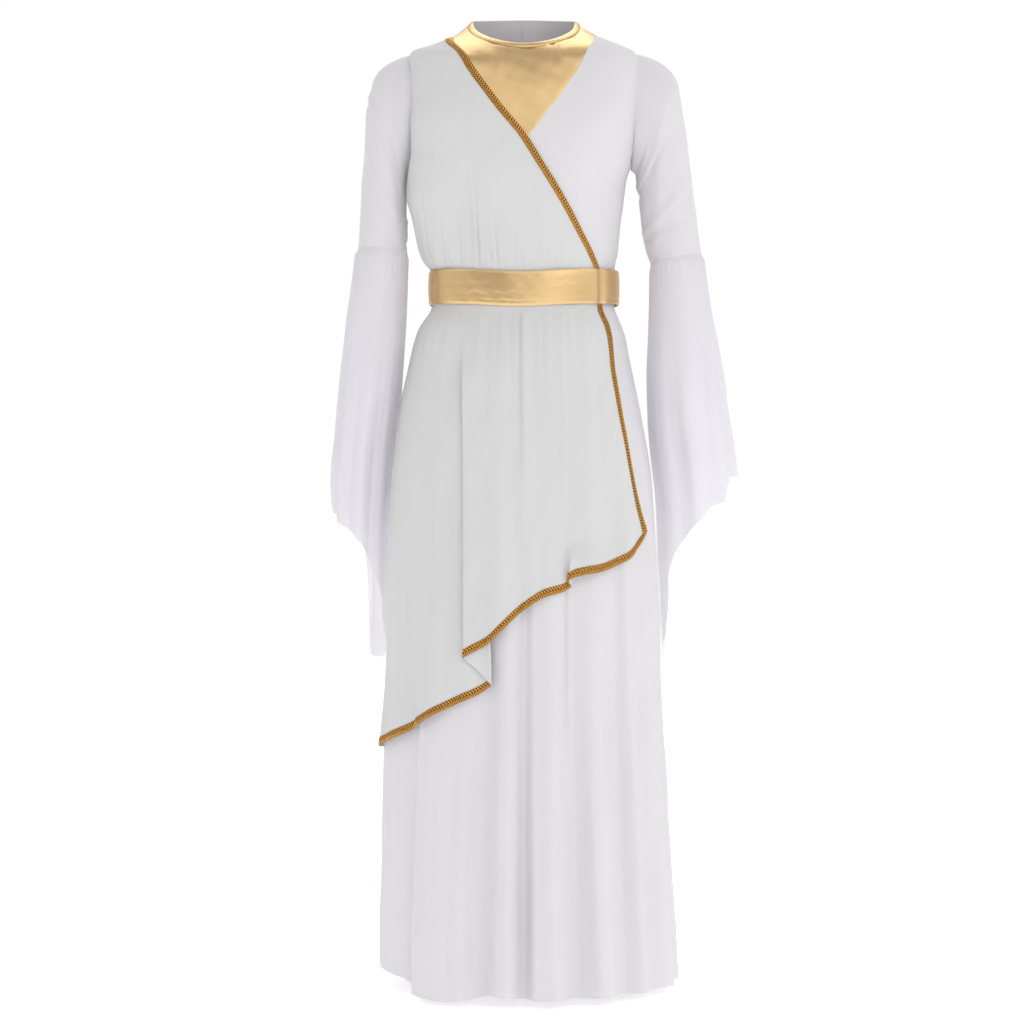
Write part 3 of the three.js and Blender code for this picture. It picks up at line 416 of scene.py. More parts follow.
LEFT_FLARE_HEM = table(
    "around z",
    (0, -478), (30, -486), (44, -491), (50, -510), (72, -518), (86, -529), (100, -540), (116, -553),
    (135, -580), (158, -638), (175, -668), (188, -686), (201, -678), (207, -606), (217, -572),
    (234, -560), (254, -551), (270, -539), (286, -525), (310, -507), (318, -489), (335, -484),
    (360, -478),
)
FLARE_FOLDS = table(
    "around out",
    (-12, 5), (8, 6), (24, -5), (44, 5), (66, -4), (90, 4), (112, -5), (134, 1), (160, -4), (188, 0),
    (210, -4), (230, 4), (250, -6), (272, 6), (292, -6), (312, 6), (330, -6), (348, 5), (368, 6),
)
FLARE_CREASES = table(
    "around out half",
    (16, 1.2, 6), (35, -0.7, 7), (56, 0.8, 8), (78, -0.6, 8), (101, 0.8, 8), (122, -0.8, 7),
    (146, 1.3, 8), (174, -1.2, 8), (199, 1.3, 7), (221, -1.4, 6), (241, 1.2, 6), (262, -1.4, 6),
    (282, 1.3, 6), (303, -1.2, 6), (322, 1.4, 6), (340, -1.2, 5),
)


def ring_point(turn: Array, half: Array, depth: Array, boxy: Array) -> tuple[Array, Array]:
    """Gives x and y of a boxy ring at a turn about the body.

    Args:
        turn: Turns about the body, in radians.
        half: The ring's half width.
        depth: Its depth in front or behind.
        boxy: Its power: 2 is an oval, and more is nearer to a box.

    Returns:
        x and y.
    """
    c = np.cos(turn)
    s = np.sin(turn)
    reach = (np.abs(c / half) ** boxy + np.abs(s / depth) ** boxy) ** (-1 / boxy)
    return reach * c, reach * s


def torso_surface(turn: Array, up: Array) -> Array:
    """Gives points of the bodice's surface.

    Args:
        turn: Turns about the body, in radians.
        up: Rings up from the waist seam.

    Returns:
        Points with x, y and z last.
    """
    turn, up = np.broadcast_arrays(np.asarray(turn, float), np.asarray(up, float))
    front = np.sin(turn) < 0
    depth = np.where(front, TORSO_AT["front"](up), TORSO_AT["back"](up))
    x, y = ring_point(turn, TORSO_AT["half"](up), depth, TORSO_AT["boxy"](up))
    middle = np.where(front, TORSO_AT["front_z"](up), TORSO_AT["back_z"](up))
    dip = mix(FRONT_DIP, NECK_DIP, smooth(270, NECK_UP, up))
    share = np.maximum(np.abs(np.sin(turn)), 1e-9) ** np.where(front, dip, BACK_RISE)
    z = mix(TORSO_AT["side_z"](up), middle, share)
    for side, lift, most_at, half in zip(*SHOULDER_LIFTS.values()):
        z = z + lift * smooth(0.2, 0.9, side * np.cos(turn)) * bump((up - most_at) / half)
    return np.stack([x, y, z], axis=-1)


def skirt_surface(turn: Array, drop: Array) -> Array:
    """Gives points of the skirt's surface, before its folds.

    Args:
        turn: Turns about the body, in radians.
        drop: Rings down from the waist seam.

    Returns:
        Points with x, y and z last.
    """
    turn, drop = np.broadcast_arrays(np.asarray(turn, float), np.asarray(drop, float))
    half = np.where(np.cos(turn) < 0, SKIRT_AT["right_half"](drop), SKIRT_AT["left_half"](drop))
    depth = np.where(np.sin(turn) < 0, SKIRT_AT["front"](drop), SKIRT_AT["back"](drop))
    x, y = ring_point(turn, half, depth, SKIRT_AT["boxy"](drop))
    return np.stack([x, y, WAIST_Z - drop], axis=-1)


def unit(vectors: Array) -> Array:
    """Scales vectors to a length of 1."""
    return vectors / np.maximum(np.linalg.norm(vectors, axis=-1, keepdims=True), 1e-9)


def way_out(surface: Surface, turn: Array, level: Array, sense: int) -> Array:
    """Gives the way out of a surface, from its slopes along and across.

    Args:
        surface: The surface's function.
        turn: Turns about the body, in radians.
        level: Rings up or down from the waist seam.
        sense: 1 where the rings are counted up, and -1 where they are counted down.

    Returns:
        Vectors of length 1.
    """
    along = surface(turn + 0.005, level) - surface(turn - 0.005, level)
    across = surface(turn, level + 0.5) - surface(turn, level - 0.5)
    return unit(np.cross(along, across)) * sense


def torso_point(turn: Array, up: Array, out: Array) -> Array:
    """Gives points that lie a distance outside the bodice's surface."""
    return torso_surface(turn, up) + way_out(torso_surface, turn, up, 1) * np.asarray(out)[..., None]


def skirt_fold(turn: Array, drop: Array) -> Array:
    """Gives the height of the skirt's folds and creases.

    Args:
        turn: Turns about the body, in radians.
        drop: Rings down from the waist seam.

    Returns:
        How far the cloth stands out, in below 0.
    """
    degrees = np.degrees(turn)
    turns, out, starts = SKIRT_FOLDS["turn"], SKIRT_FOLDS["out"], SKIRT_FOLDS["starts"]
    at = turns[0] + np.mod(degrees - turns[0], 360)
    i = np.searchsorted(turns, at, side="right") - 1
    j = (i + 1) % len(turns)
    gap = np.where(j == 0, turns[0] + 360, turns[j]) - turns[i]
    last = out[i] * smooth(starts[i], HEM_DROP * 1.05, drop)
    following = out[j] * smooth(starts[j], HEM_DROP * 1.05, drop)
    height = mix(last, following, smooth(0, 1, (at - turns[i]) / gap))
    for top, foot, rise, half, begin, end in zip(*SKIRT_CREASES.values()):
        centre = mix(top, foot, drop / HEM_DROP)
        away = np.mod(degrees - centre + 180, 360) - 180
        shown = smooth(begin, begin + 120, drop) * (1 - smooth(end - 120, end, drop))
        height = height + rise * bump(away / half) * shown
    gathers = np.sin(degrees / WAIST_GATHER_STEP * 2 * np.pi + 1.7 * np.sin(degrees / 31))
    return height + WAIST_GATHER_OUT * gathers * smooth(28, 40, drop) * (1 - smooth(50, 170, drop))


def skirt_point(turn: Array, drop: Array, out: Array) -> Array:
    """Gives points that lie a distance outside the folded skirt."""
    total = skirt_fold(turn, drop) + out
    return skirt_surface(turn, drop) + way_out(skirt_surface, turn, drop, -1) * total[..., None]


def turn_at(surface: Surface, x: Array, level: Array) -> Array:
    """Finds the turn on the front at which a surface has the given x.

    Args:
        surface: The surface's function.
        x: The places across.
        level: Rings up or down from the waist seam.

    Returns:
        The turns, in radians.
    """
    x, level = np.broadcast_arrays(np.asarray(x, float), np.asarray(level, float))
    low = np.full(x.shape, RIGHT_SIDE)
    high = np.full(x.shape, LEFT_SIDE)
    for _ in range(30):
        middle = (low + high) / 2
        under = surface(middle, level)[..., 0] < x
        low = np.where(under, middle, low)
        high = np.where(under, high, middle)
    return (low + high) / 2


def wander(along: Array, across: Array, scale: float, seed: float) -> Array:
    """Gives slow uneven waves between about -1 and 1, the same at each run.

    Args:
        along: One place on the cloth, in millimetres.
        across: The other place on the cloth, in millimetres.
        scale: The length of the main wave, in millimetres.
        seed: A number that shifts the waves of one piece against another's.

    Returns:
        The waves' height.
    """
    a = along / scale * 2 * np.pi
    b = across / scale * 2 * np.pi
    first = np.sin(a * 0.9 + 0.7 * b + seed) * np.sin(b * 0.8 - 0.3 * a + 2.1 * seed)
    second = np.sin(a * 1.9 - 0.6 * b + 3.3 * seed) * np.sin(b * 1.7 + 0.5 * a + 0.9 * seed)
    return 0.7 * first + 0.3 * second


def two_part(middle: float, first: int, second: int, end: float = 1.0) -> Array:
    """Gives places from 0 to the end that lie closer together before the middle place.

    Args:
        middle: Where the spacing changes.
        first: How many places there are up to it.
        second: How many there are from it on.
        end: The last place.

    Returns:
        The places, as a column.
    """
    return np.concatenate([np.linspace(0, middle, first), np.linspace(middle, end, second)[1:]])[:, None]


class Edge(Enum):
    """An edge of a grid of cloth."""

    FIRST_ROW = "first row"
    LAST_ROW = "last row"
    FIRST_COLUMN = "first column"
    LAST_COLUMN = "last column"


@dataclass
class Cloth:
    """A grid of points on the middle of a piece of cloth, and what is done to it before it is a mesh."""

    points: Array

    def way(self) -> Array:
        """Gives the grid's own way out at each point.

        Returns:
            Vectors of length 1.
        """
        along = np.gradient(self.points, axis=1)
        across = np.gradient(self.points, axis=0)
        return unit(np.cross(along, across))

    def lengths(self) -> tuple[Array, Array]:
        """Gives each point's distance along its row and down its column.

        Returns:
            The two grids of distances.
        """
        rows = np.linalg.norm(np.diff(self.points, axis=1), axis=2)
        columns = np.linalg.norm(np.diff(self.points, axis=0), axis=2)
        along = np.concatenate([np.zeros((len(rows), 1)), np.cumsum(rows, axis=1)], axis=1)
        down = np.concatenate([np.zeros((1, columns.shape[1])), np.cumsum(columns, axis=0)], axis=0)
        return along, down

    def from_edge(self, edge: Edge) -> Array:
        """Gives each point's distance from an edge of the grid.

        Args:
            edge: The edge.

        Returns:
            The grid of distances.
        """
        along, down = self.lengths()
        return {
            Edge.FIRST_ROW: down,
            Edge.LAST_ROW: down[-1:] - down,
            Edge.FIRST_COLUMN: along,
            Edge.LAST_COLUMN: along[:, -1:] - along,
        }[edge]

    def move(self, out: Array, way: Array | None = None) -> "Cloth":
        """Moves the points out along the cloth's own way or a given one."""
        self.points = self.points + (self.way() if way is None else way) * out[..., None]
        return self

    def seam(self, *edges: Edge, sense: int = 1, depth: float = 0.45, width: float = 2.2) -> "Cloth":
        """Rolls the cloth in at sewn edges, as a pressed seam does."""
        out = sum(-depth * np.exp(-((self.from_edge(edge) / width) ** 2)) for edge in edges)
        return self.move(sense * out)

    def hem(self, edge: Edge, deep: float, sense: int = 1, groove: float = 0.5) -> "Cloth":
        """Gives an edge its turned-up hem: a little thicker, with a groove along its stitches.

        Args:
            edge: The edge.
            deep: How far up the stitches lie.
            sense: 1 if the cloth's own way points out of the body, otherwise -1.
            groove: How deep the groove is.

        Returns:
            The cloth itself.
        """
        away = self.from_edge(edge)
        raised = HEM_RAISED * (1 - smooth(deep - 1, deep + 1.5, away))
        line = -groove * np.exp(-(((away - deep) / STITCH_HALF_WIDTH) ** 2))
        return self.move(sense * (raised + line))

    def sense(self) -> int:
        """Tells whether the cloth's own way points out of the body (1) or in (-1)."""
        return 1 if np.sum(self.way() * self.points * np.array([1, 1, 0])) > 0 else -1


@dataclass(frozen=True)
class Finish:
    """A cloth's colours and light, with the fine relief of its threads.

    The relief and the blotches read the piece's own UV map, which holds metres of flat cloth.
    """

    name: str
    colour: int
    shade: int
    roughness: float
    metallic: float = 0.0
    sheen: float = 0.0
    thread_mm: float = 1.1
    relief: float = 0.12
    blotch_mm: float = 60.0
    stretch: tuple[float, float] = (1.0, 1.0)
    crinkle: float = 0.0
    grain: float = 0.0
    lets_through: float = 0.0

    def make(self) -> bpy.types.Material:
        """Builds the material once.

        Returns:
            The material with its nodes.
        """
        known = bpy.data.materials.get(self.name)
        if known:
            return known
        material, tree, output = blank_material(self.name)
        shader = add_node(tree, "ShaderNodeBsdfPrincipled", {
            "Roughness": self.roughness,
            "Metallic": self.metallic,
            "Sheen Weight": self.sheen,
            "Sheen Roughness": 0.5,
        })
        uv = add_node(tree, "ShaderNodeUVMap", uv_map="cloth")
        stretched = add_node(tree, "ShaderNodeMapping", {
            "Vector": uv.outputs["UV"], "Scale": (self.stretch[0], self.stretch[1], 1.0)})
        blotch = add_node(tree, "ShaderNodeTexNoise", {
            "Vector": stretched.outputs["Vector"], "Scale": 1000 / self.blotch_mm, "Detail": 3.0})
        tone = add_node(tree, "ShaderNodeMix", {
            "Factor": blotch.outputs["Fac"], "A": linear(self.shade), "B": linear(self.colour)},
            data_type="RGBA")
        tree.links.new(tone.outputs["Result"], shader.inputs["Base Color"])
        relief = self.add_relief(tree, uv, stretched)
        tree.links.new(relief, shader.inputs["Normal"])
        surface = shader.outputs["BSDF"]
        if self.lets_through:
            through = add_node(tree, "ShaderNodeBsdfTranslucent", {"Color": tone.outputs["Result"]})
            both = add_node(tree, "ShaderNodeMixShader", {
                0: self.lets_through, 1: surface, 2: through.outputs["BSDF"]})
            surface = both.outputs["Shader"]
        tree.links.new(surface, output.inputs["Surface"])
        return material

    def add_relief(self, tree: bpy.types.NodeTree, uv: bpy.types.Node,
                   stretched: bpy.types.Node) -> bpy.types.NodeSocket:
        """Adds the relief of the threads and of fine crinkles.

        Args:
            tree: The material's node tree.
            uv: The node that gives the cloth's place.
            stretched: The same place, drawn out along the grain.

        Returns:
            The socket that gives the bent normal.
        """
        thread = 1000 / self.thread_mm
        warp = add_node(tree, "ShaderNodeTexWave", {
            "Vector": uv.outputs["UV"], "Scale": thread / 20, "Distortion": 0.6, "Detail": 1.0},
            bands_direction="X")
        weft = add_node(tree, "ShaderNodeTexWave", {
            "Vector": uv.outputs["UV"], "Scale": thread / 20, "Distortion": 0.6, "Detail": 1.0},
            bands_direction="Y")
        weave = add_node(tree, "ShaderNodeMath", {0: warp.outputs["Fac"], 1: weft.outputs["Fac"]},
                         operation="MULTIPLY")
        crinkle = add_node(tree, "ShaderNodeTexNoise", {
            "Vector": stretched.outputs["Vector"], "Scale": 140.0, "Detail": 4.0})
        first = add_node(tree, "ShaderNodeBump", {
            "Strength": self.relief, "Distance": 0.0004, "Height": weave.outputs["Value"]})
        second = add_node(tree, "ShaderNodeBump", {
            "Strength": self.crinkle, "Distance": 0.0012, "Height": crinkle.outputs["Fac"],
            "Normal": first.outputs["Normal"]})
        if not self.grain:
            return second.outputs["Normal"]
        specks = add_node(tree, "ShaderNodeTexNoise", {
            "Vector": uv.outputs["UV"], "Scale": 620.0, "Detail": 2.0, "Roughness": 0.7})
        third = add_node(tree, "ShaderNodeBump", {
            "Strength": self.grain, "Distance": 0.0004, "Height": specks.outputs["Fac"],
            "Normal": second.outputs["Normal"]})
        return third.outputs["Normal"]


@dataclass(frozen=True)
class BraidFinish:
    """Metallic gold thread plaited into a flat braid, with painted shade in the gaps between its strands
    and along its middle groove, and painted glints.
    """

    name: str = "gold_thread_braid"
    # The gold of the strands, and the painted shade that fills the low gaps between them.
    bright: int = 0xDBA147
    painted_groove_shade: int = 0x4A2707
    roughness: float = 0.4

    def make(self) -> bpy.types.Material:
        """Builds the material, which reads how high each point stands in the plait and paints the lower
        places darker, as painted shade.

        Returns:
            The material with its nodes.
        """
        known = bpy.data.materials.get(self.name)
        if known:
            return known
        material, tree, output = blank_material(self.name)
        shader = add_node(tree, "ShaderNodeBsdfPrincipled", {
            "Roughness": self.roughness, "Metallic": 0.65})
        # How high each point stands in the plait, which sets the painted shade.
        height = add_node(tree, "ShaderNodeAttribute", attribute_name="plait")
        uv = add_node(tree, "ShaderNodeUVMap", uv_map="cloth")
        # Painted glints: fine noise that brightens and darkens specks of the strands' colour.
        painted_glint = add_node(tree, "ShaderNodeTexNoise", {
            "Vector": uv.outputs["UV"], "Scale": 700.0, "Detail": 2.0})
        share = add_node(tree, "ShaderNodeMath", {0: height.outputs["Fac"], 1: painted_glint.outputs["Fac"]},
                         operation="MULTIPLY")
        ramp = add_node(tree, "ShaderNodeMapRange", {
            "Value": share.outputs["Value"], "From Min": 0.17, "From Max": 0.42})
        tone = add_node(tree, "ShaderNodeMix", {
            "Factor": ramp.outputs["Result"], "A": linear(self.painted_groove_shade), "B": linear(self.bright)},
            data_type="RGBA")
        tree.links.new(tone.outputs["Result"], shader.inputs["Base Color"])
        tree.links.new(shader.outputs["BSDF"], output.inputs["Surface"])
        return material


def blank_material(name: str) -> tuple[bpy.types.Material, bpy.types.NodeTree, bpy.types.Node]:
    """Makes a material with nothing but its output node.

    Args:
        name: The material's name.

    Returns:
        The material, its node tree and the output node.
    """
    material = bpy.data.materials.new(name)
    material.use_nodes = True
    tree = material.node_tree
    tree.nodes.clear()
    return material, tree, add_node(tree, "ShaderNodeOutputMaterial")


def linear(colour: int) -> tuple[float, float, float, float]:
    """Turns an sRGB hex colour to linear values.

    Args:
        colour: The colour, as 0xRRGGBB.

    Returns:
        Red, green, blue and alpha.
    """
    parts = [((colour >> shift) & 255) / 255 for shift in (16, 8, 0)]
    values = [c / 12.92 if c <= 0.04045 else ((c + 0.055) / 1.055) ** 2.4 for c in parts]
    return (values[0], values[1], values[2], 1.0)


def add_node(tree: bpy.types.NodeTree, kind: str, sockets: dict | None = None,
             **settings: object) -> bpy.types.Node:
    """Adds a node with its settings, values and links.

    Args:
        tree: The node tree.
        kind: The node's type.
        sockets: For each input, a value to set or an output to link.
        settings: The node's own properties.

    Returns:
        The new node.
    """
    node = tree.nodes.new(kind)
    for name, value in settings.items():
        setattr(node, name, value)
    for key, value in (sockets or {}).items():
        found = [s for s in node.inputs if s.name == key and s.enabled] if isinstance(key, str) else []
        socket = found[0] if found else node.inputs[key]
        if isinstance(value, bpy.types.NodeSocket):
            tree.links.new(value, socket)
        else:
            socket.default_value = value
    return node


# Brushed polyester stretch knit, dull and smooth, with a trace of lilac in its white.
LILAC_KNIT = Finish("brushed_lilac_knit", 0xF0EEF1, 0xEBE9EC, 0.82, sheen=0.3, relief=0.05,
                    stretch=(1.6, 0.5), crinkle=0.05, lets_through=0.3)
# The same knit in one thin layer, which lets more light through.
SHEER_KNIT = Finish("sheer_lilac_knit", 0xF8F7F9, 0xF3F2F5, 0.8, sheen=0.3, relief=0.05,
                    stretch=(1.6, 0.5), crinkle=0.06, lets_through=0.56)
# Crinkled polyester chiffon: a dull plain weave whose crinkle runs with the grain.
CHIFFON = Finish("crinkled_white_chiffon", 0xE2E2E2, 0xDCDCDC, 0.85, sheen=0.2, relief=0.06,
                 blotch_mm=40, stretch=(2.2, 0.3), crinkle=0.06, lets_through=0.18)
# Stretch knit with a pressed gold foil: satin gloss, with a fine orange-peel grain.
GOLD_FOIL = Finish("pressed_gold_foil", 0xE6C997, 0xD5B07A, 0.38, metallic=0.88, relief=0.02,
                   blotch_mm=34, crinkle=0.08, grain=0.14)
GOLD_THREAD = BraidFinish()


@dataclass(frozen=True)
class Cut:
    """The flat size that a piece of cloth was cut to, in millimetres, and how it is held."""

    width: float
    length: float
    area_share: float = 1.0
    held: str = "hung"
    rests_on: tuple[str, ...] = ()


def grid_into(bm: bmesh.types.BMesh, cloth: Cloth, layers: tuple, plait: Array | None) -> None:
    """Adds a grid to a mesh and places its points.

    Args:
        bm: The mesh that is being made.
        cloth: The points, one row after another.
        layers: The mesh's UV layer and its layer for the height of a plait.
        plait: The height of a plait at each point, if there is one; the braid's material paints it as
            shade.
    """
    rows, columns = cloth.points.shape[:2]
    uv_layer, plait_layer = layers
    made = bmesh.ops.create_grid(bm, x_segments=columns - 1, y_segments=rows - 1, size=0.5)["verts"]
    along, down = cloth.lengths()
    places = {}
    flat = cloth.points * MM
    for vert in made:
        column = round((vert.co.x + 0.5) * (columns - 1))
        row = round((vert.co.y + 0.5) * (rows - 1))
        places[vert] = (row, column)
    for vert, (row, column) in places.items():
        vert.co = flat[row, column]
        if plait is not None:
            vert[plait_layer] = float(plait[row, column])
    for face in {face for vert in made for face in vert.link_faces}:
        for loop in face.loops:
            row, column = places[loop.vert]
            loop[uv_layer].uv = (along[row, column] * MM, down[row, column] * MM)


def turn_outward(bm: bmesh.types.BMesh, middle_x: float) -> None:
    """Turns the faces so that they point away from the upright line that the cloth goes round.

    Args:
        bm: The mesh.
        middle_x: Where that line stands, in millimetres to the wearer's left.
    """
    bm.normal_update()
    outward = 0.0
    for face in bm.faces:
        centre = face.calc_center_median()
        away = Vector((centre.x - middle_x * MM, centre.y, 0))
        outward += face.normal.dot(away) * face.calc_area()
    if outward < 0:
        bmesh.ops.reverse_faces(bm, faces=bm.faces)


def make_cloth(name: str, cloths: list[Cloth], thickness: float, finish: Finish | BraidFinish,
               plaits: list[Array] | None = None, middle_x: float = 0.0) -> bpy.types.Object:
    """Makes a piece of cloth from its grids.

    Args:
        name: The piece's name.
        cloths: Its grids, which are joined where they meet.
        thickness: The cloth's thickness in millimetres.
        finish: What it is made of.
        plaits: The height of a plait at each point of each grid, which the braid's material paints as
            shade.
        middle_x: Where the upright line stands that the cloth goes round.

    Returns:
        The new object, at the origin, with a wall that is given by a modifier.
    """
    bm = bmesh.new()
    layers = (bm.loops.layers.uv.new("cloth"), bm.verts.layers.float.new("plait"))
    for i, cloth in enumerate(cloths):
        grid_into(bm, cloth, layers, plaits[i] if plaits else None)
    bmesh.ops.remove_doubles(bm, verts=bm.verts, dist=2e-6)
    bmesh.ops.dissolve_degenerate(bm, edges=bm.edges, dist=1e-6)
    turn_outward(bm, middle_x)
    mesh = bpy.data.meshes.new(name)
    for face in bm.faces:
        face.smooth = True
    for edge in bm.edges:
        edge.smooth = not edge.is_boundary
    bm.to_mesh(mesh)
    bm.free()
    piece = bpy.data.objects.new(name, mesh)
    bpy.context.scene.collection.objects.link(piece)
    mesh.materials.append(finish.make())
    wall = piece.modifiers.new("wall", "SOLIDIFY")
    wall.thickness = thickness * MM
    wall.offset = 0
    return piece


def place(piece: bpy.types.Object, nodes: list[str], slot: str, cut: Cut | None = None) -> None:
    """Ties a piece to the body and hides the solids that it stands for.

    Args:
        piece: The piece.
        nodes: The solids that it replaces.
        slot: The record's material slot; not used.
        cut: Its flat cut, if it is a sheet of cloth.
    """
    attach(piece, "root")
    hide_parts(*nodes)
    if cut:
        list(cut.rests_on)
    LOG.info("%s: %d faces", piece.name, len(piece.data.polygons))


def armhole_reach(up: Array) -> Array:
    """Gives the armhole's reach from the body's side.

    Args:
        up: Rings up from the waist seam.

    Returns:
        The reach in radians.
    """
    middle = (ARMHOLE_FOOT + ARMHOLE_TOP) / 2
    share = (up - middle) / (ARMHOLE_TOP - middle)
    return ARMHOLE_REACH * np.sqrt(np.clip(1 - share * share, 0, 1))


def v_edge_turn(up: Array) -> Array:
    """Gives the turn of the V's edge on the wearer's right."""
    return np.maximum(turn_at(torso_surface, -V_HALF_AT(up), up), RIGHT_SIDE)


def binding_foot(turn: Array) -> Array:
    """Gives the ring at which the neck binding's foot lies."""
    return NECK_UP - mix(6.5, 15, np.sin(turn) ** 2)


@dataclass
class Bodice:
    """The fitted body of the dress: front, back halves, gold V inset and neck binding."""

    knit_out: float = -0.5
    knit_thick: float = 0.7
    binding_thick: float = 0.5
    front_rows: tuple[int, int] = (46, 58)
    front_columns: int = 56
    back_rows: int = 90
    back_columns: int = 52
    neck_hem: float = 7.0
    inset_rows: int = 80
    inset_columns: int = 60
    binding_rows: int = 28
    binding_columns: int = 150

    def ease(self, points: Array, seed: float) -> Array:
        """Gives the soft unevenness of knit over a body."""
        return 0.35 * wander(points[..., 2], points[..., 0], 95, seed)

    def front_half(self, side: int) -> Array:
        """Gives the points of one half of the front, from the side to the centre or the V.

        Args:
            side: -1 for the wearer's right half, 1 for the left.

        Returns:
            The points, from the wearer's right to the left.
        """
        up = two_part(V_FOOT_UP, *self.front_rows, STRAP_TIP_UP)
        share = np.linspace(0, 1, self.front_columns)[None, :]
        start = RIGHT_SIDE + armhole_reach(up)
        end = np.where(up <= V_FOOT_UP, FRONT, v_edge_turn(up))
        turn = mix(start, np.maximum(end, start + 0.004), share)
        if side > 0:
            turn = (2 * FRONT - turn)[:, ::-1]
        points = torso_point(turn, up + 0 * turn, self.knit_out + 0 * turn)
        out = self.ease(points, 1.3) + self.side_creases(points)
        return points + way_out(torso_surface, turn, up + 0 * turn, 1) * out[..., None]

    def side_creases(self, points: Array) -> Array:
        """Gives faint drag lines that run from the armhole towards the waist.

        Args:
            points: The cloth's points.

        Returns:
            How far the cloth stands out at each of them.
        """
        x = np.abs(points[..., 0])
        z = points[..., 2]
        total = np.zeros_like(x)
        for x0, z0, x1, z1, half, out in zip(*DRAG_LINES.values()):
            run = np.array([x1 - x0, z1 - z0])
            reach = np.hypot(*run)
            t = ((x - x0) * run[0] + (z - z0) * run[1]) / reach**2
            away = ((x - x0) * run[1] - (z - z0) * run[0]) / reach
            total += out * bump(away / half) * bump((t - 0.5) / 0.75)
        return total

    def front(self) -> None:
        """Builds the front in one piece, split above by the V."""
        cloths = [Cloth(self.front_half(side)) for side in (-1, 1)]
        piece = make_cloth("bodice_front_panel", cloths, self.knit_thick, LILAC_KNIT)
        place(piece, ["bodice_front"], "knit", Cut(330, 330, 0.72, "stretched"))

    def back(self) -> None:
        """Builds the two back halves, which meet in the centre back seam."""
        up = np.linspace(0, NECK_UP, self.back_rows)[:, None]
        share = np.linspace(0, 1, self.back_columns)[None, :]
        right = mix(BACK, RIGHT_SIDE - armhole_reach(up), share)
        level = up + 0 * right
        for name, turn in (("right", right), ("left", (2 * BACK - right)[:, ::-1])):
            points = torso_point(turn, level, self.knit_out + 0 * turn)
            out = self.ease(points, 4.1) + self.side_creases(points)
            cloth = Cloth(points + way_out(torso_surface, turn, level, 1) * out[..., None])
            sense = cloth.sense()
            middle = Edge.FIRST_COLUMN if name == "right" else Edge.LAST_COLUMN
            cloth.seam(middle, sense=sense)
            cloth.hem(Edge.LAST_ROW, self.neck_hem, sense=sense, groove=0.3)
            piece = make_cloth(f"bodice_back_{name}_panel", [cloth], self.knit_thick, LILAC_KNIT)
            place(piece, [f"bodice_back_{name}"], "knit", Cut(165, 375, 0.8, "stretched"))

    def inset(self) -> None:
        """Builds the gold inset, from the foot of the V to the neck binding."""
        rise = np.linspace(0, 1, self.inset_rows)[:, None]
        across = np.linspace(0, 1, self.inset_columns)[None, :]
        middle_top = binding_foot(np.array(FRONT))
        up = V_FOOT_UP + (middle_top - V_FOOT_UP) * rise + 0 * across
        for _ in range(5):
            start = v_edge_turn(up)
            turn = mix(start, 2 * FRONT - start, across)
            up = V_FOOT_UP + (binding_foot(turn) - V_FOOT_UP) * rise
        points = torso_point(turn, up, self.knit_out - 0.1 + 0 * turn)
        x, z = points[..., 0], points[..., 2]
        creases = np.zeros_like(x)
        for centre, lean, half, out, low in zip(*INSET_CREASES.values()):
            drift = centre - lean * (z + 10) / 20
            creases += out * bump((x - drift) / half) * smooth(low, low + 22, z)
        creases += 0.5 * wander(z, x, 46, 2.2) * smooth(-150, -40, z)
        cloth = Cloth(points)
        cloth.move(cloth.sense() * creases)
        cloth.seam(Edge.FIRST_COLUMN, Edge.LAST_COLUMN, Edge.LAST_ROW, sense=cloth.sense(), depth=0.3)
        piece = make_cloth("v_inset_panel", [cloth], self.knit_thick, GOLD_FOIL)
        place(piece, ["neck_inset"], "gold_foil_knit", Cut(172, 185, 0.55, "stretched"))

    def binding(self) -> None:
        """Builds the binding: a strip folded over the neck edge, from shoulder seam to shoulder seam."""
        step = np.linspace(0, BINDING["at"][-1], self.binding_rows)[:, None]
        share = Curve(BINDING, "at", "share")(step)
        out = Curve(BINDING, "at", "out")(step)
        turn = np.linspace(RIGHT_SIDE, LEFT_SIDE, self.binding_columns)[None, :]
        level = mix(binding_foot(turn), NECK_UP + 0.5, share)
        pull = 0.14 * np.sin(turn * 61) * bump((share - 0.3) / 0.5)
        points = torso_point(turn + 0 * step, level, self.knit_out + out + pull)
        piece = make_cloth("neck_binding_strip", [Cloth(points)], self.binding_thick, GOLD_FOIL)
        place(piece, ["neck_binding"], "gold_foil_knit", Cut(18, 172, 1.0, "folded"))

    def build(self) -> None:
        """Builds every piece of the bodice."""
        self.front()
        self.back()
        self.inset()
        self.binding()


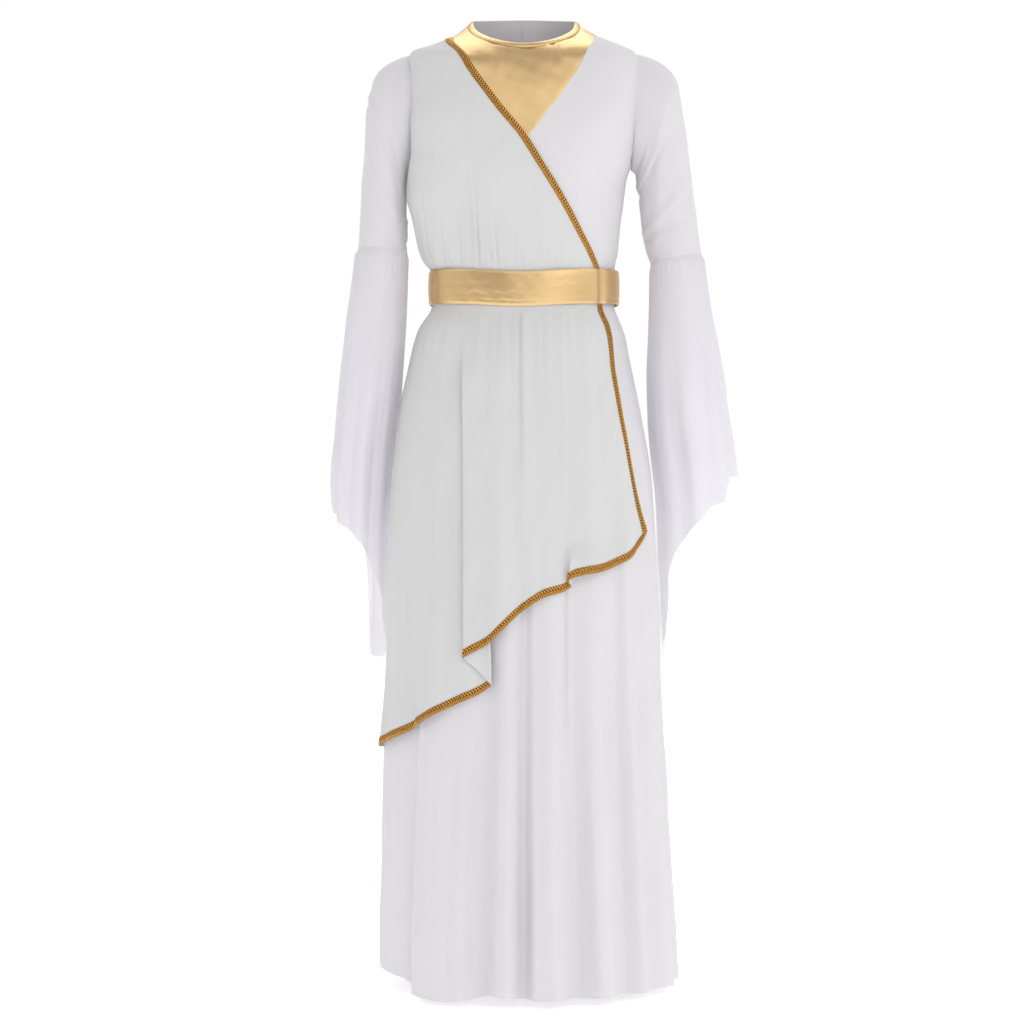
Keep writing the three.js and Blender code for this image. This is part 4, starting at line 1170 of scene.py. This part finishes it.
@dataclass
class Skirt:
    """The long skirt, in a front and a back panel with side seams."""

    knit_out: float = -0.5
    knit_thick: float = 0.7
    hem_deep: float = 16.0
    rows: tuple[int, int] = (32, 74)
    front_columns: int = 250
    back_columns: int = 230

    def panel(self, start: float, end: float, columns: int) -> Cloth:
        """Gives one panel from side seam to side seam, from the waist to the hem.

        Args:
            start: The turn of its first side seam.
            end: The turn of its other side seam.
            columns: How many points it has across.

        Returns:
            The panel's grid.
        """
        turn = np.linspace(start, end, columns)[None, :]
        share = two_part(0.16, *self.rows)
        drop = SEAM_GAP + share * (HEM_LINE_AT(np.degrees(turn)) - SEAM_GAP)
        points = skirt_point(turn + 0 * drop, drop, self.knit_out + 0 * drop)
        uneven = wander(drop, points[..., 0] + 0.6 * points[..., 1], 210, 0.6) * smooth(60, 500, drop)
        cloth = Cloth(points)
        sense = cloth.sense()
        cloth.move(sense * 1.2 * uneven)
        cloth.seam(Edge.FIRST_COLUMN, Edge.LAST_COLUMN, sense=sense)
        cloth.hem(Edge.LAST_ROW, self.hem_deep, sense=sense)
        return cloth

    def build(self) -> None:
        """Builds both panels."""
        front = self.panel(RIGHT_SIDE, LEFT_SIDE, self.front_columns)
        piece = make_cloth("skirt_front_panel", [front], self.knit_thick, LILAC_KNIT)
        place(piece, ["skirt_front"], "knit", Cut(560, 780, 0.85, "hung"))
        back = self.panel(0, RIGHT_SIDE, self.back_columns)
        piece = make_cloth("skirt_back_panel", [back], self.knit_thick, LILAC_KNIT)
        place(piece, ["skirt_back"], "knit", Cut(560, 780, 0.85, "hung"))


@dataclass(frozen=True)
class Pleat:
    """A knife pleat of the draped layer: x of its fold above and below, its depth, and where it forms."""

    top_x: float
    hem_x: float
    depth: float
    starts: float
    closes: float
    radius: float = 0.9
    least_depth: float = 1.6
    foot_drop: float = 430.0

    def at(self, drop: Array, t: float) -> tuple[Array, Array]:
        """Gives a place along the pleat's cloth.

        Args:
            drop: Drops from the waist seam.
            t: 0 to 1 round the first bend, to 2 across the flat, and to 3 round the second bend.

        Returns:
            The x across the front, and how far out it lies.
        """
        turned = np.maximum(np.pi * smooth(self.starts, self.closes, drop), 1e-4)
        depth = self.depth * smooth(mix(self.starts, self.closes, 0.6), self.foot_drop, drop)
        depth = np.maximum(depth, self.least_depth)
        bend = np.pi * self.radius / turned
        first = turned * min(t, 1)
        flat = depth * min(max(t - 1, 0), 1)
        last = turned * (1 - min(max(t - 2, 0), 1))
        fold = mix(self.top_x, self.hem_x, drop / self.foot_drop)
        start = fold - depth * np.cos(turned) - bend * np.sin(turned)
        x = start + bend * np.sin(first) + flat * np.cos(turned) + bend * (np.sin(turned) - np.sin(last))
        out = bend * (1 - np.cos(first)) + flat * np.sin(turned) + bend * (np.cos(last) - np.cos(turned))
        return x, out


@dataclass
class Drape:
    """The draped chiffon layer over one shoulder, with gold braid along its free edges."""

    out: float = 1.6
    thick: float = 0.45
    least_out: float = 0.35
    sewn_out: float = 0.6
    turned: float = 0.15
    turned_steps: int = 8
    side_steps: int = 54
    bend_steps: int = 8
    flat_steps: int = 8
    middle_steps: int = 48
    edge_steps: int = 38
    side_pleat: Pleat = Pleat(-62.5, -60, 24, 34, 150, radius=1.5)
    front_pleat: Pleat = Pleat(46, 47, 5, 282, 326)
    clear: float = 4.0
    fade: float = 45.0
    braid_width: float = 7.8
    skirt_braid_width: float = 8.8
    braid_pitch: float = 3.3
    braid_thick: float = 0.5
    bodice_rows: int = 156
    bodice_columns: tuple[int, int] = (11, 180)
    turned_share: float = 0.06
    skirt_rows: tuple[int, int] = (36, 100)
    arm_top: float = 257.0
    edge_top: float = 308.0
    arm_cut: float = 0.31

    def bodice_point(self, across: Array, down: Array, extra: float = 0.0) -> Array:
        """Gives points of the draped bodice layer.

        Args:
            across: Shares from the armhole and side seam to the diagonal edge. Shares below 0 are the
                strip that turns back onto the side seam.
            down: Shares from the shoulder seam to the waist.
            extra: How much further out the points lie.

        Returns:
            Points with x, y and z last.
        """
        across, down = np.broadcast_arrays(across, down)
        back = np.clip(across / -self.turned_share, 0, 1)
        across = np.maximum(across, 0)
        left = mix(self.arm_top, 0.0, down)
        right = mix(self.edge_top, 0.0, down)
        up = mix(left, right, across)
        deep = smooth(62, 150, left) * self.arm_cut
        arm = np.maximum(armhole_reach(left), np.where(left < 195, deep, 0))
        start = RIGHT_SIDE + arm
        end = np.maximum(turn_at(torso_surface, DIAGONAL_AT(right), right), start)
        turn = mix(start, end, across)
        beyond = turn - RIGHT_SIDE
        back = back * (1 - smooth(110, 160, left))
        turn = turn - self.turned * back
        beside = smooth(0, 0.2, beyond) * (1 - smooth(0.3, 0.95, beyond))
        sewn = (1 - smooth(0, 0.07, across)) * smooth(185, 210, up)
        out = self.out + extra + BLOUSE_AT(up) * beside - 1.15 * sewn
        x = torso_surface(turn, up)[..., 0]
        for foot, top, rise, half, reach in zip(*GATHERS.values()):
            centre = mix(foot, top, up / reach) + 0.9 * np.sin(up / 29 + foot)
            grown = smooth(8, 26, up) * (1 - smooth(0.3, 1, up / reach))
            out = out + 1.3 * rise * bump((x - centre) / half) * grown
        fine = 0.1 * np.sin(x * 1.15 + 2.6 * np.sin(up / 31)) * (1 - smooth(20, 80, up))
        out = out + fine * smooth(6, 24, up) + 0.8 * wander(up, x, 90, 3.7) * smooth(40, 110, up)
        out = mix(out, self.sewn_out, smooth(0, 1, back))
        return torso_point(turn, up, out)

    def bodice(self) -> None:
        """Builds the draped bodice layer."""
        down = np.linspace(0, 1, self.bodice_rows)[:, None]
        turned, flat = self.bodice_columns
        shares = [np.linspace(-self.turned_share, 0, turned), np.linspace(0, 1, flat)[1:]]
        across = np.concatenate(shares)[None, :]
        cloth = Cloth(self.bodice_point(across, down))
        piece = make_cloth("drape_bodice_layer", [cloth], self.thick, CHIFFON)
        place(piece, ["overlay_bodice"], "chiffon", Cut(300, 330, 0.6, "draped", ("bodice_front_panel",)))

    def marks(self) -> list[tuple[str, float]]:
        """Gives each station across the draped skirt layer.

        Returns:
            For each one, the part that it is in and its share there.
        """
        marks = [("turned", t) for t in np.linspace(0, 1, self.turned_steps + 1)[:-1]]
        marks += [("side", t) for t in np.linspace(0, 1, self.side_steps + 1)]
        for name in ("side_pleat", "front_pleat"):
            bend = np.linspace(0, 1, self.bend_steps + 1)
            flat = np.linspace(1, 2, self.flat_steps + 1)
            marks += [(name, t) for t in (*bend, *flat[1:], *(bend[1:] + 2))]
            if name == "side_pleat":
                marks += [("middle", t) for t in np.linspace(0, 1, self.middle_steps + 1)]
        return marks + [("edge", t) for t in np.linspace(0, 1, self.edge_steps + 1)]

    def station(self, mark: tuple[str, float], drop: Array) -> tuple[Array, Array]:
        """Gives the turn and the height of the cloth at one station.

        Args:
            mark: The part and the share in it.
            drop: Drops from the waist seam.

        Returns:
            The turn about the body, and how far over the layer below it lies.
        """
        part, t = mark
        side_end_x, side_end_out = self.side_pleat.at(drop, 3)
        front_start_x = self.front_pleat.at(drop, 0)[0]
        fade_from = side_end_x + 0.7 * self.fade
        fade_to = side_end_x + 1.7 * self.fade
        if part == "turned":
            return RIGHT_SIDE + 0.0015 - self.turned * (1 - t) + 0 * drop, 0 * drop
        if part == "side":
            last = turn_at(skirt_surface, self.side_pleat.at(drop, 0)[0] - self.clear, drop)
            return mix(RIGHT_SIDE + 0.0015, last, t), 0 * drop
        if part == "side_pleat":
            x, over = self.side_pleat.at(drop, t)
            return turn_at(skirt_surface, x, drop), over
        if part == "middle":
            x = mix(side_end_x + self.clear, front_start_x - self.clear, t)
            return turn_at(skirt_surface, x, drop), side_end_out * (1 - smooth(fade_from, fade_to, x))
        base = side_end_out * (1 - smooth(fade_from, fade_to, front_start_x))
        if part == "front_pleat":
            x, over = self.front_pleat.at(drop, t)
            return turn_at(skirt_surface, x, drop), base + over
        end_x, end_out = self.front_pleat.at(drop, 3)
        edge = OVERLAY_EDGE_AT(drop)
        x = mix(end_x + self.clear, edge, t)
        left = 1 - smooth(front_start_x + 4, edge - 12, x)
        return turn_at(skirt_surface, x, drop), (base + end_out) * left

    def skirt_point(self, mark: tuple[str, float], drop: Array, extra: float = 0.0) -> Array:
        """Gives points of the draped skirt layer at one station.

        Args:
            mark: The part and the share in it.
            drop: Drops from the waist seam.
            extra: How much further out the points lie.

        Returns:
            Points with x, y and z last.
        """
        turn, over = self.station(mark, drop)
        x = skirt_surface(turn, drop)[..., 0]
        beyond = turn - RIGHT_SIDE
        lower = mix(1, smooth(0, 0.16, beyond), smooth(150, 400, drop))
        puff = PUFF_AT(drop) * (1 - smooth(0.5, 1.3, beyond)) * lower
        free = 2.6 * smooth(60, 420, drop) * smooth(0.1, 0.6, beyond)
        xs, outs, starts = DRAPE_FOLDS["x"], DRAPE_FOLDS["out"], DRAPE_FOLDS["starts"]
        i = np.clip(np.searchsorted(xs, x, side="right") - 1, 0, len(xs) - 2)
        height = [outs[k] * smooth(starts[k], starts[k] + 260, drop) for k in (i, i + 1)]
        fold = mix(height[0], height[1], smooth(0, 1, (x - xs[i]) / (xs[i + 1] - xs[i])))
        for top, foot, rise, half, begin, end in zip(*DRAPE_CREASES.values()):
            centre = mix(top, foot, drop / 430)
            shown = smooth(begin, begin + 14, drop) * (1 - smooth(mix(begin, end, 0.35), end, drop))
            fold = fold + CREASE_SHARE * rise * bump((x - centre) / half) * shown
        height = np.maximum(self.out + puff + free + fold, self.least_out)
        height = mix(self.sewn_out, height, smooth(-self.turned, 0, beyond))
        return skirt_point(turn, drop, height + over + extra)

    def hem_drops(self) -> Array:
        """Gives the drop of the hem at each station, by its length along the cloth.

        Returns:
            The drops from the waist seam.
        """
        reference = np.array([400.0])
        places = np.concatenate([self.skirt_point(mark, reference) for mark in self.marks()])
        steps = np.linalg.norm(np.diff(places, axis=0), axis=1)
        along = np.concatenate([[0], np.cumsum(steps)])
        along = np.maximum(along - along[self.turned_steps], 0)
        return OVERLAY_HEM_AT(along / along[-1] * OVERLAY_HEM_END)

    def skirt_grid(self, first: int, last: int, shares: Array, extra: float = 0.0) -> Array:
        """Gives a part of the draped skirt layer.

        Args:
            first: The first station.
            last: The last station.
            shares: How far down each row lies, from the waist at 0 to the hem at 1.
            extra: How much further out the points lie.

        Returns:
            The points of the part, in rows.
        """
        marks = self.marks()
        drops = self.hem_drops()
        columns = [
            self.skirt_point(marks[i], SEAM_GAP + shares * (drops[i] - SEAM_GAP), extra)
            for i in range(first, last + 1)
        ]
        return np.stack(columns, axis=1)

    def skirt(self) -> Array:
        """Builds the draped skirt layer.

        Returns:
            The points of its middle surface, for the braid.
        """
        shares = two_part(0.16, *self.skirt_rows)[:, 0]
        points = self.skirt_grid(0, len(self.marks()) - 1, shares)
        piece = make_cloth("drape_skirt_layer", [Cloth(points)], self.thick, CHIFFON)
        place(piece, ["overlay_skirt"], "chiffon", Cut(470, 530, 0.75, "draped", ("skirt_front_panel",)))
        return points

    def braid(self, name: str, node: str, edge: Array, inward: Array, outward: Array, width: float) -> None:
        """Builds a length of plaited braid along an edge.

        Args:
            name: The piece's name.
            node: The solid that it replaces.
            edge: Points along the layer's edge.
            inward: At each of them, the way along the cloth to its inside.
            outward: At each of them, the way out of the cloth.
            width: How wide the braid is.
        """
        steps = np.linalg.norm(np.diff(edge, axis=0), axis=1)
        along = np.concatenate([[0], np.cumsum(steps)])
        fine = np.linspace(0, along[-1], max(8, int(along[-1] / 0.5)))
        line = [np.stack([np.interp(fine, along, part[:, k]) for k in range(3)], axis=1)
                for part in (edge, inward, outward)]
        across = np.linspace(0, 1, 13)[:, None]
        phase = fine[None, :] / self.braid_pitch + np.abs(across - 0.5) * 2.4
        strand = 0.5 + 0.5 * np.cos(2 * np.pi * phase)
        crown = np.clip(1 - np.abs(2 * across - 1) ** 6, 0, 1)
        middle = 1 - 0.6 * bump((across - 0.5) / 0.09)
        plait = strand * crown * middle
        wobble = 0.25 * np.sin(fine[None, :] / 9.0) + 0.12 * np.sin(fine[None, :] * 1.7)
        height = self.thick / 2 + 0.3 + 0.75 * plait
        place_in = across * width - 0.3 + wobble
        points = (line[0][None] + unit(line[1])[None] * place_in[..., None]
                  + unit(line[2])[None] * height[..., None])
        # Painted shade: the material darkens the gold where this is low, in the gaps between strands and
        # along the middle groove.
        shown = 0.12 + 0.88 * strand * (1 - 0.45 * bump((across - 0.5) / 0.09))
        piece = make_cloth(name, [Cloth(points)], self.braid_thick, GOLD_THREAD, [shown])
        place(piece, [node], "gold_braid")
        LOG.info("%s: %d mm of braid", name, round(float(along[-1])))

    def braids(self, skirt: Array) -> None:
        """Builds the braid down the diagonal, the front edge and the hem.

        Args:
            skirt: The points of the draped skirt layer.
        """
        down = np.linspace(0.004, 0.99, 260)
        edge = self.bodice_point(np.array(1.0), down)
        inner = self.bodice_point(np.array(0.95), down)
        up = mix(self.edge_top, 0, down)
        out = way_out(torso_surface, turn_at(torso_surface, edge[:, 0], up), up, 1)
        self.braid("braid_diagonal", "braid_bodice", edge, inner - edge, out, self.braid_width)
        cloth = Cloth(skirt)
        way = cloth.way() * cloth.sense()
        reach = cloth.from_edge(Edge.LAST_ROW)
        top = int(np.argmax(skirt[:, -1, 2] < WAIST_Z - 22))
        inward = skirt[:, -6] - skirt[:, -1]
        self.braid("braid_front_edge", "braid_skirt_edge", skirt[top:, -1], inward[top:], way[top:, -2],
                   self.skirt_braid_width)
        marks = self.marks()
        parts = [mark[0] for mark in marks]
        side_last = parts.index("side_pleat") + self.bend_steps // 4
        middle_first = parts.index("middle") - self.bend_steps
        middle_last = parts.index("front_pleat") + self.bend_steps // 4
        front_first = parts.index("edge") - self.bend_steps
        spans = (
            ("braid_hem_right", "braid_hem_side", 0, side_last),
            ("braid_hem_centre", "braid_hem_middle", middle_first, middle_last),
            ("braid_hem_left", "braid_hem_front", front_first, len(marks) - 1),
        )
        row = int(np.argmin(np.abs(reach.mean(axis=1) - self.braid_width)))
        for name, node, first, last in spans:
            edge = skirt[-1, first:last + 1]
            inward = skirt[row, first:last + 1] - edge
            self.braid(name, node, edge, inward, way[-2, first:last + 1], self.skirt_braid_width)

    def build(self) -> None:
        """Builds both layers and their braid."""
        self.bodice()
        self.braids(self.skirt())


@dataclass
class Belt:
    """The gold belt round the waist, lapped at the centre back."""

    out: float = 5.2
    top_up: float = 14.0
    foot_drop: float = 23.6
    thick: float = 0.9
    lap: float = 0.36
    start: float = BACK + 0.1
    columns: int = 340
    rows: int = 37

    def build(self) -> None:
        """Builds the belt as one soft band with turned edges."""
        turn = np.linspace(self.start, self.start + LEFT_SIDE + self.lap, self.columns)[None, :]
        share = np.linspace(0, 1, self.rows)[:, None]
        level = mix(-self.foot_drop, self.top_up, share)
        over = smooth(LEFT_SIDE - 0.3, LEFT_SIDE, turn - self.start) * 1.65
        swing = 5.5 * np.sin(turn) * np.abs(np.sin(turn))
        place_on = turn * 105
        sag = 0.7 * wander(level, place_on, 120, 5.2) + 0.25 * wander(level * 3, place_on, 38, 1.1)
        crease = -0.7 * bump((share - 0.14) / 0.05) * (0.6 + 0.4 * np.sin(turn * 3.1))
        edge = -0.9 * (np.exp(-(share / 0.03) ** 2) + np.exp(-((1 - share) / 0.03) ** 2))
        bow = 0.9 * bump((share - 0.5) / 0.75)
        ridge = bump((turn - math.radians(323)) / 0.08) - bump((turn - math.radians(329)) / 0.07)
        pinch = -1.2 * bump((turn - math.radians(200)) / 0.07) * (0.7 + 0.3 * np.sin(share * 5))
        out = self.out + over + 0.7 * sag + 0.3 * crease + edge + bow - 0.5 + ridge + pinch
        flat = torso_point(turn + 0 * share, 0 * (turn + share), out)
        waver = 0.6 * np.sin(turn * 2.3 + 0.8) + 0.3 * np.sin(turn * 5.1)
        flat[..., 2] = WAIST_Z + level + 2 + swing + waver
        piece = make_cloth("waist_belt", [Cloth(flat)], self.thick, GOLD_FOIL)
        place(piece, ["belt"], "gold_foil_knit", Cut(40, 760, 1.0, "stretched", ("drape_bodice_layer",)))


@dataclass
class Sleeve:
    """One long sleeve: a close upper sleeve, and a bell-shaped flare sewn on at the elbow."""

    side: int
    name: str
    rings: dict[str, Array]
    flare: dict[str, Array]
    hem: dict[str, Array]
    thick: float = 0.7
    flare_thick: float = 0.5
    seed: float = 0.0
    upper_rows: int = 89
    upper_columns: int = 113
    flare_rows: tuple[int, int] = (18, 74)
    flare_columns: int = 253
    head_row: int = 29
    head_reach: float = 15.0

    def upper_points(self) -> Array:
        """Gives the points of the upper sleeve, from the armhole to the elbow.

        Returns:
            The points in rings, one row for each.
        """
        at = {name: Curve(self.rings, "share", name) for name in self.rings if name != "share"}
        share = np.linspace(0, 1, self.upper_rows)[:, None]
        angle = np.linspace(0, 2 * np.pi, self.upper_columns)[None, :]
        forward = np.sin(angle)
        outward = np.cos(angle)
        x = mix(at["inner_x"](share), at["outer_x"](share), (1 + outward) / 2)
        z = mix(at["inner_z"](share), at["outer_z"](share), (1 + outward) / 2)
        y = -forward * at["half_depth"](share)
        drag = self.drags(share, angle)
        x = x + drag * outward
        y = y - drag * forward
        ring = np.stack(np.broadcast_arrays(self.side * x, y, z), axis=-1)
        up = mix(ARMHOLE_FOOT, ARMHOLE_TOP, (1 + outward) / 2)
        inset = armhole_reach(up) * np.sign(np.round(forward, 9))
        turn = RIGHT_SIDE + inset if self.side < 0 else LEFT_SIDE - inset
        seam = torso_point(turn, up, -0.5 + 0 * turn)
        along = np.gradient(seam, axis=1)
        along[:, 0] = along[:, -1] = seam[:, 1] - seam[:, -2]
        away = unit(np.cross(unit(along), way_out(torso_surface, turn, up, 1)))
        heading = unit(ring[self.head_row][None] - seam)
        aligned = np.sum(away * heading, axis=-1, keepdims=True)
        away = away * np.sign(aligned)
        reach = self.head_reach * np.abs(aligned) * (share / 0.18)[..., None]
        on_top = np.maximum(outward, 0) ** 2
        soft = smooth(0, 0.2, share)
        quick = np.sin(np.pi / 2 * np.clip(share / 0.14, 0, 1))
        head = seam + away * reach * (1 - on_top)[..., None]
        return mix(head, ring, mix(soft, quick, on_top)[..., None])

    def drags(self, share: Array, angle: Array) -> Array:
        """Gives soft drag lines round the upper arm, and the pull of the elbow seam.

        Args:
            share: Shares of the way from the armhole to the elbow.
            angle: Turns about the arm, in radians.

        Returns:
            How far the cloth stands out.
        """
        across = 60 * np.cos(angle) + 35 * np.sin(angle)
        waves = 1.1 * wander(share * 230, across, 85, 2.4 + self.seed)
        fold = 0.0
        for centre, slope, half, out in zip(*ARM_CREASES.values()):
            away = share - centre - slope * np.cos(angle - self.seed)
            shown = 0.5 + 0.5 * np.cos(angle - 1.1 + self.seed + 4 * centre)
            fold = fold + out * bump(away / half) * shown
        pinch = -0.3 * np.exp(-(((1 - share) / 0.01) ** 2))
        return (waves + fold) * smooth(0.12, 0.3, share) + pinch

    def flare_points(self) -> Array:
        """Gives the points of the flare, from the elbow to its handkerchief hem.

        Returns:
            The points in rings, one row for each.
        """
        at = {name: Curve(self.flare, "z", name) for name in self.flare if name != "z"}
        elbow = {name: float(values[-1]) for name, values in self.rings.items()}
        share = two_part(0.12, *self.flare_rows)
        degrees = np.linspace(0, 360, self.flare_columns)[None, :]
        angle = np.radians(degrees)
        outward = np.cos(angle)
        forward = np.sin(angle)
        top = mix(elbow["inner_z"], elbow["outer_z"], (1 + outward) / 2) + 0.3
        z = mix(top, Curve(self.hem, "around", "z")(degrees), share)
        half = (at["outer"](z) - at["inner"](z)) / 2
        middle = (at["outer"](z) + at["inner"](z)) / 2
        folds = Curve(FLARE_FOLDS, "around", "out")(degrees) * smooth(0.03, 1, share)
        for centre, out, reach in zip(*FLARE_CREASES.values()):
            away = degrees - centre - 4 * np.sin(share * 2.2 + self.seed)
            folds = folds + out * bump(away / reach) * smooth(0.15, 0.7, share)
        gathers = 0.35 * np.sin(angle * 23 + 2.5 * np.sin(angle * 3)) * smooth(0, 0.02, share)
        out = 1.0 * smooth(0, 0.02, share) + folds + gathers * (1 - smooth(0.03, 0.16, share))
        uneven = wander(z, 70 * outward + 40 * forward, 130, 1.9 + self.seed)
        out = out + uneven * smooth(0.1, 0.5, share)
        x = middle + (half + out) * outward
        y = at["middle_y"](z) - (at["half_depth"](z) + out) * forward
        start = np.stack(np.broadcast_arrays(
            mix(elbow["inner_x"], elbow["outer_x"], (1 + outward) / 2) + 0 * share,
            -forward * elbow["half_depth"], z), axis=-1)
        points = np.stack(np.broadcast_arrays(x, y, z), axis=-1)
        placed = mix(start, points, smooth(0, 0.02, share)[..., None])
        return placed * np.array([self.side, 1, 1])

    def build(self) -> None:
        """Builds the upper sleeve and the flare."""
        upper = Cloth(self.upper_points())
        middle_x = float(upper.points[..., 0].mean())
        piece = make_cloth(f"sleeve_{self.name}_upper", [upper], self.thick, LILAC_KNIT, middle_x=middle_x)
        place(piece, [f"sleeve_upper_{self.name}"], "knit", Cut(230, 230, 0.75, "stretched"))
        flare = Cloth(self.flare_points())
        piece = make_cloth(f"sleeve_{self.name}_flare", [flare], self.flare_thick, SHEER_KNIT,
                           middle_x=middle_x)
        place(piece, [f"sleeve_flare_{self.name}"], "knit", Cut(360, 460, 0.75, "hung"))


@dataclass(frozen=True)
class Patch:
    """A soft round patch of the surround: where it lies, how wide it is and how much light it adds."""

    aim: tuple[float, float, float]
    outer_cosine: float
    inner_cosine: float
    power: float


@dataclass(frozen=True)
class Light:
    """A soft square light: where it stands and its side, in metres, and its power in watts."""

    name: str
    place_m: tuple[float, float, float]
    side_m: float
    watts: float


@dataclass
class Studio:
    """The floor, the soft light and the camera."""

    camera_place: tuple[float, float, float] = (-13.4, -2700.0, -522.0)
    mm_per_pixel: float = 1.12
    frame_pixels: int = 1024
    sensor: float = 36.0
    sight_m: float = 30.0
    floor_z: float = -1052.0
    floor_half_m: float = 12.0
    lights_aim_m: tuple[float, float, float] = (0, 0, -0.45)
    backdrop: float = 1.02
    surround: float = 0.79
    patches: tuple[Patch, ...] = (
        Patch((0, -1, 0), -0.3, 0.9, -0.26),
        Patch((0.05, -0.78, 0.62), 0.84, 0.96, 0.66),
        Patch((0, -0.98, -0.1), 0.75, 0.97, -0.38),
        Patch((0.3, -0.95, 0.12), 0.95, 0.995, 1.2),
        Patch((-0.8, -0.6, 0.1), 0.8, 0.95, -0.34),
        Patch((0, -0.2, 0.98), 0.88, 0.98, -0.4),
        Patch((0.8, -0.25, 0.55), 0.82, 0.96, 0.5),
        Patch((-0.8, -0.25, 0.55), 0.82, 0.96, 0.4),
    )
    lights: tuple[Light, ...] = (
        Light("key_light", (1.5, -2.2, 0.9), 1.2, 6.5),
        Light("fill_light", (-1.7, -1.8, 0.2), 1.6, 1.5),
        Light("top_light", (0.0, 0.9, 1.6), 1.4, 10),
    )

    def camera(self) -> None:
        """Places the camera level with the middle of the costume, where the photograph was taken from."""
        data = bpy.data.cameras.new("camera")
        data.sensor_width = self.sensor
        data.lens = self.sensor * -self.camera_place[1] / (self.frame_pixels * self.mm_per_pixel)
        data.clip_end = self.sight_m
        camera = bpy.data.objects.new("camera", data)
        camera.location = Vector(self.camera_place) * MM
        camera.rotation_euler = (math.radians(90), 0, 0)
        bpy.context.scene.collection.objects.link(camera)
        bpy.context.scene.camera = camera

    def light(self, light: Light) -> None:
        """Adds a light that faces the costume.

        Args:
            light: The light.
        """
        data = bpy.data.lights.new(light.name, "AREA")
        data.shape = "SQUARE"
        data.size = light.side_m
        data.energy = light.watts
        lamp = bpy.data.objects.new(light.name, data)
        lamp.location = light.place_m
        aim = Vector(self.lights_aim_m) - Vector(light.place_m)
        lamp.rotation_euler = aim.to_track_quat("-Z", "Y").to_euler()
        bpy.context.scene.collection.objects.link(lamp)

    def world(self) -> None:
        """Gives a plain white surround."""
        world = bpy.data.worlds.new("studio")
        world.use_nodes = True
        bpy.context.scene.world = world
        tree = world.node_tree
        tree.nodes.clear()
        place = add_node(tree, "ShaderNodeTexCoord")
        soft = add_node(tree, "ShaderNodeValue")
        soft.outputs["Value"].default_value = self.surround
        for patch in self.patches:
            added = self.patch(tree, place, patch)
            soft = add_node(tree, "ShaderNodeMath", {0: soft.outputs["Value"], 1: added})
        ray = add_node(tree, "ShaderNodeLightPath")
        power = add_node(tree, "ShaderNodeMix", {
            "Factor": ray.outputs["Is Camera Ray"], "A": soft.outputs["Value"], "B": self.backdrop})
        glow = add_node(tree, "ShaderNodeBackground", {
            "Color": (1, 1, 1, 1), "Strength": power.outputs["Result"]})
        output = add_node(tree, "ShaderNodeOutputWorld")
        tree.links.new(glow.outputs["Background"], output.inputs["Surface"])

    def patch(self, tree: bpy.types.NodeTree, place: bpy.types.Node, patch: Patch) -> bpy.types.NodeSocket:
        """Adds a soft round patch of light to the surround.

        Args:
            tree: The world's node tree.
            place: The node that gives the direction.
            patch: The patch.

        Returns:
            The socket that gives the added strength.
        """
        toward = add_node(tree, "ShaderNodeVectorMath", {
            0: place.outputs["Generated"], 1: Vector(patch.aim).normalized()}, operation="DOT_PRODUCT")
        added = add_node(tree, "ShaderNodeMapRange", {
            "Value": toward.outputs["Value"],
            "From Min": patch.outer_cosine,
            "From Max": patch.inner_cosine,
            "To Min": 0.0,
            "To Max": patch.power,
        }, interpolation_type="SMOOTHSTEP")
        return added.outputs["Result"]

    def floor(self) -> None:
        """Lays a plain pale floor just under the hem."""
        bm = bmesh.new()
        bmesh.ops.create_grid(bm, x_segments=1, y_segments=1, size=self.floor_half_m)
        bmesh.ops.translate(bm, verts=bm.verts, vec=(0, 0, self.floor_z * MM))
        mesh = bpy.data.meshes.new("floor")
        bm.to_mesh(mesh)
        bm.free()
        floor = bpy.data.objects.new("floor", mesh)
        bpy.context.scene.collection.objects.link(floor)
        material = bpy.data.materials.new("pale_floor")
        material.use_nodes = True
        shader = material.node_tree.nodes["Principled BSDF"]
        shader.inputs["Base Color"].default_value = linear(0xFAFAFA)
        shader.inputs["Roughness"].default_value = 0.9
        shader.inputs["Emission Color"].default_value = (1, 1, 1, 1)
        shader.inputs["Emission Strength"].default_value = 0.5
        mesh.materials.append(material)

    def build(self) -> None:
        """Sets up the studio."""
        self.camera()
        self.world()
        self.floor()
        for light in self.lights:
            self.light(light)
        bpy.context.scene.view_settings.view_transform = "Standard"


def main() -> None:
    """Builds the costume and its studio."""
    logging.basicConfig(level=logging.INFO, format="%(message)s")
    Studio().build()
    Bodice().build()
    Skirt().build()
    Drape().build()
    Belt().build()
    Sleeve(-1, "right", RIGHT_SLEEVE, RIGHT_FLARE, RIGHT_FLARE_HEM, seed=0.4).build()
    Sleeve(1, "left", LEFT_SLEEVE, LEFT_FLARE, LEFT_FLARE_HEM, seed=2.3).build()


if __name__ == "__main__":
    main()
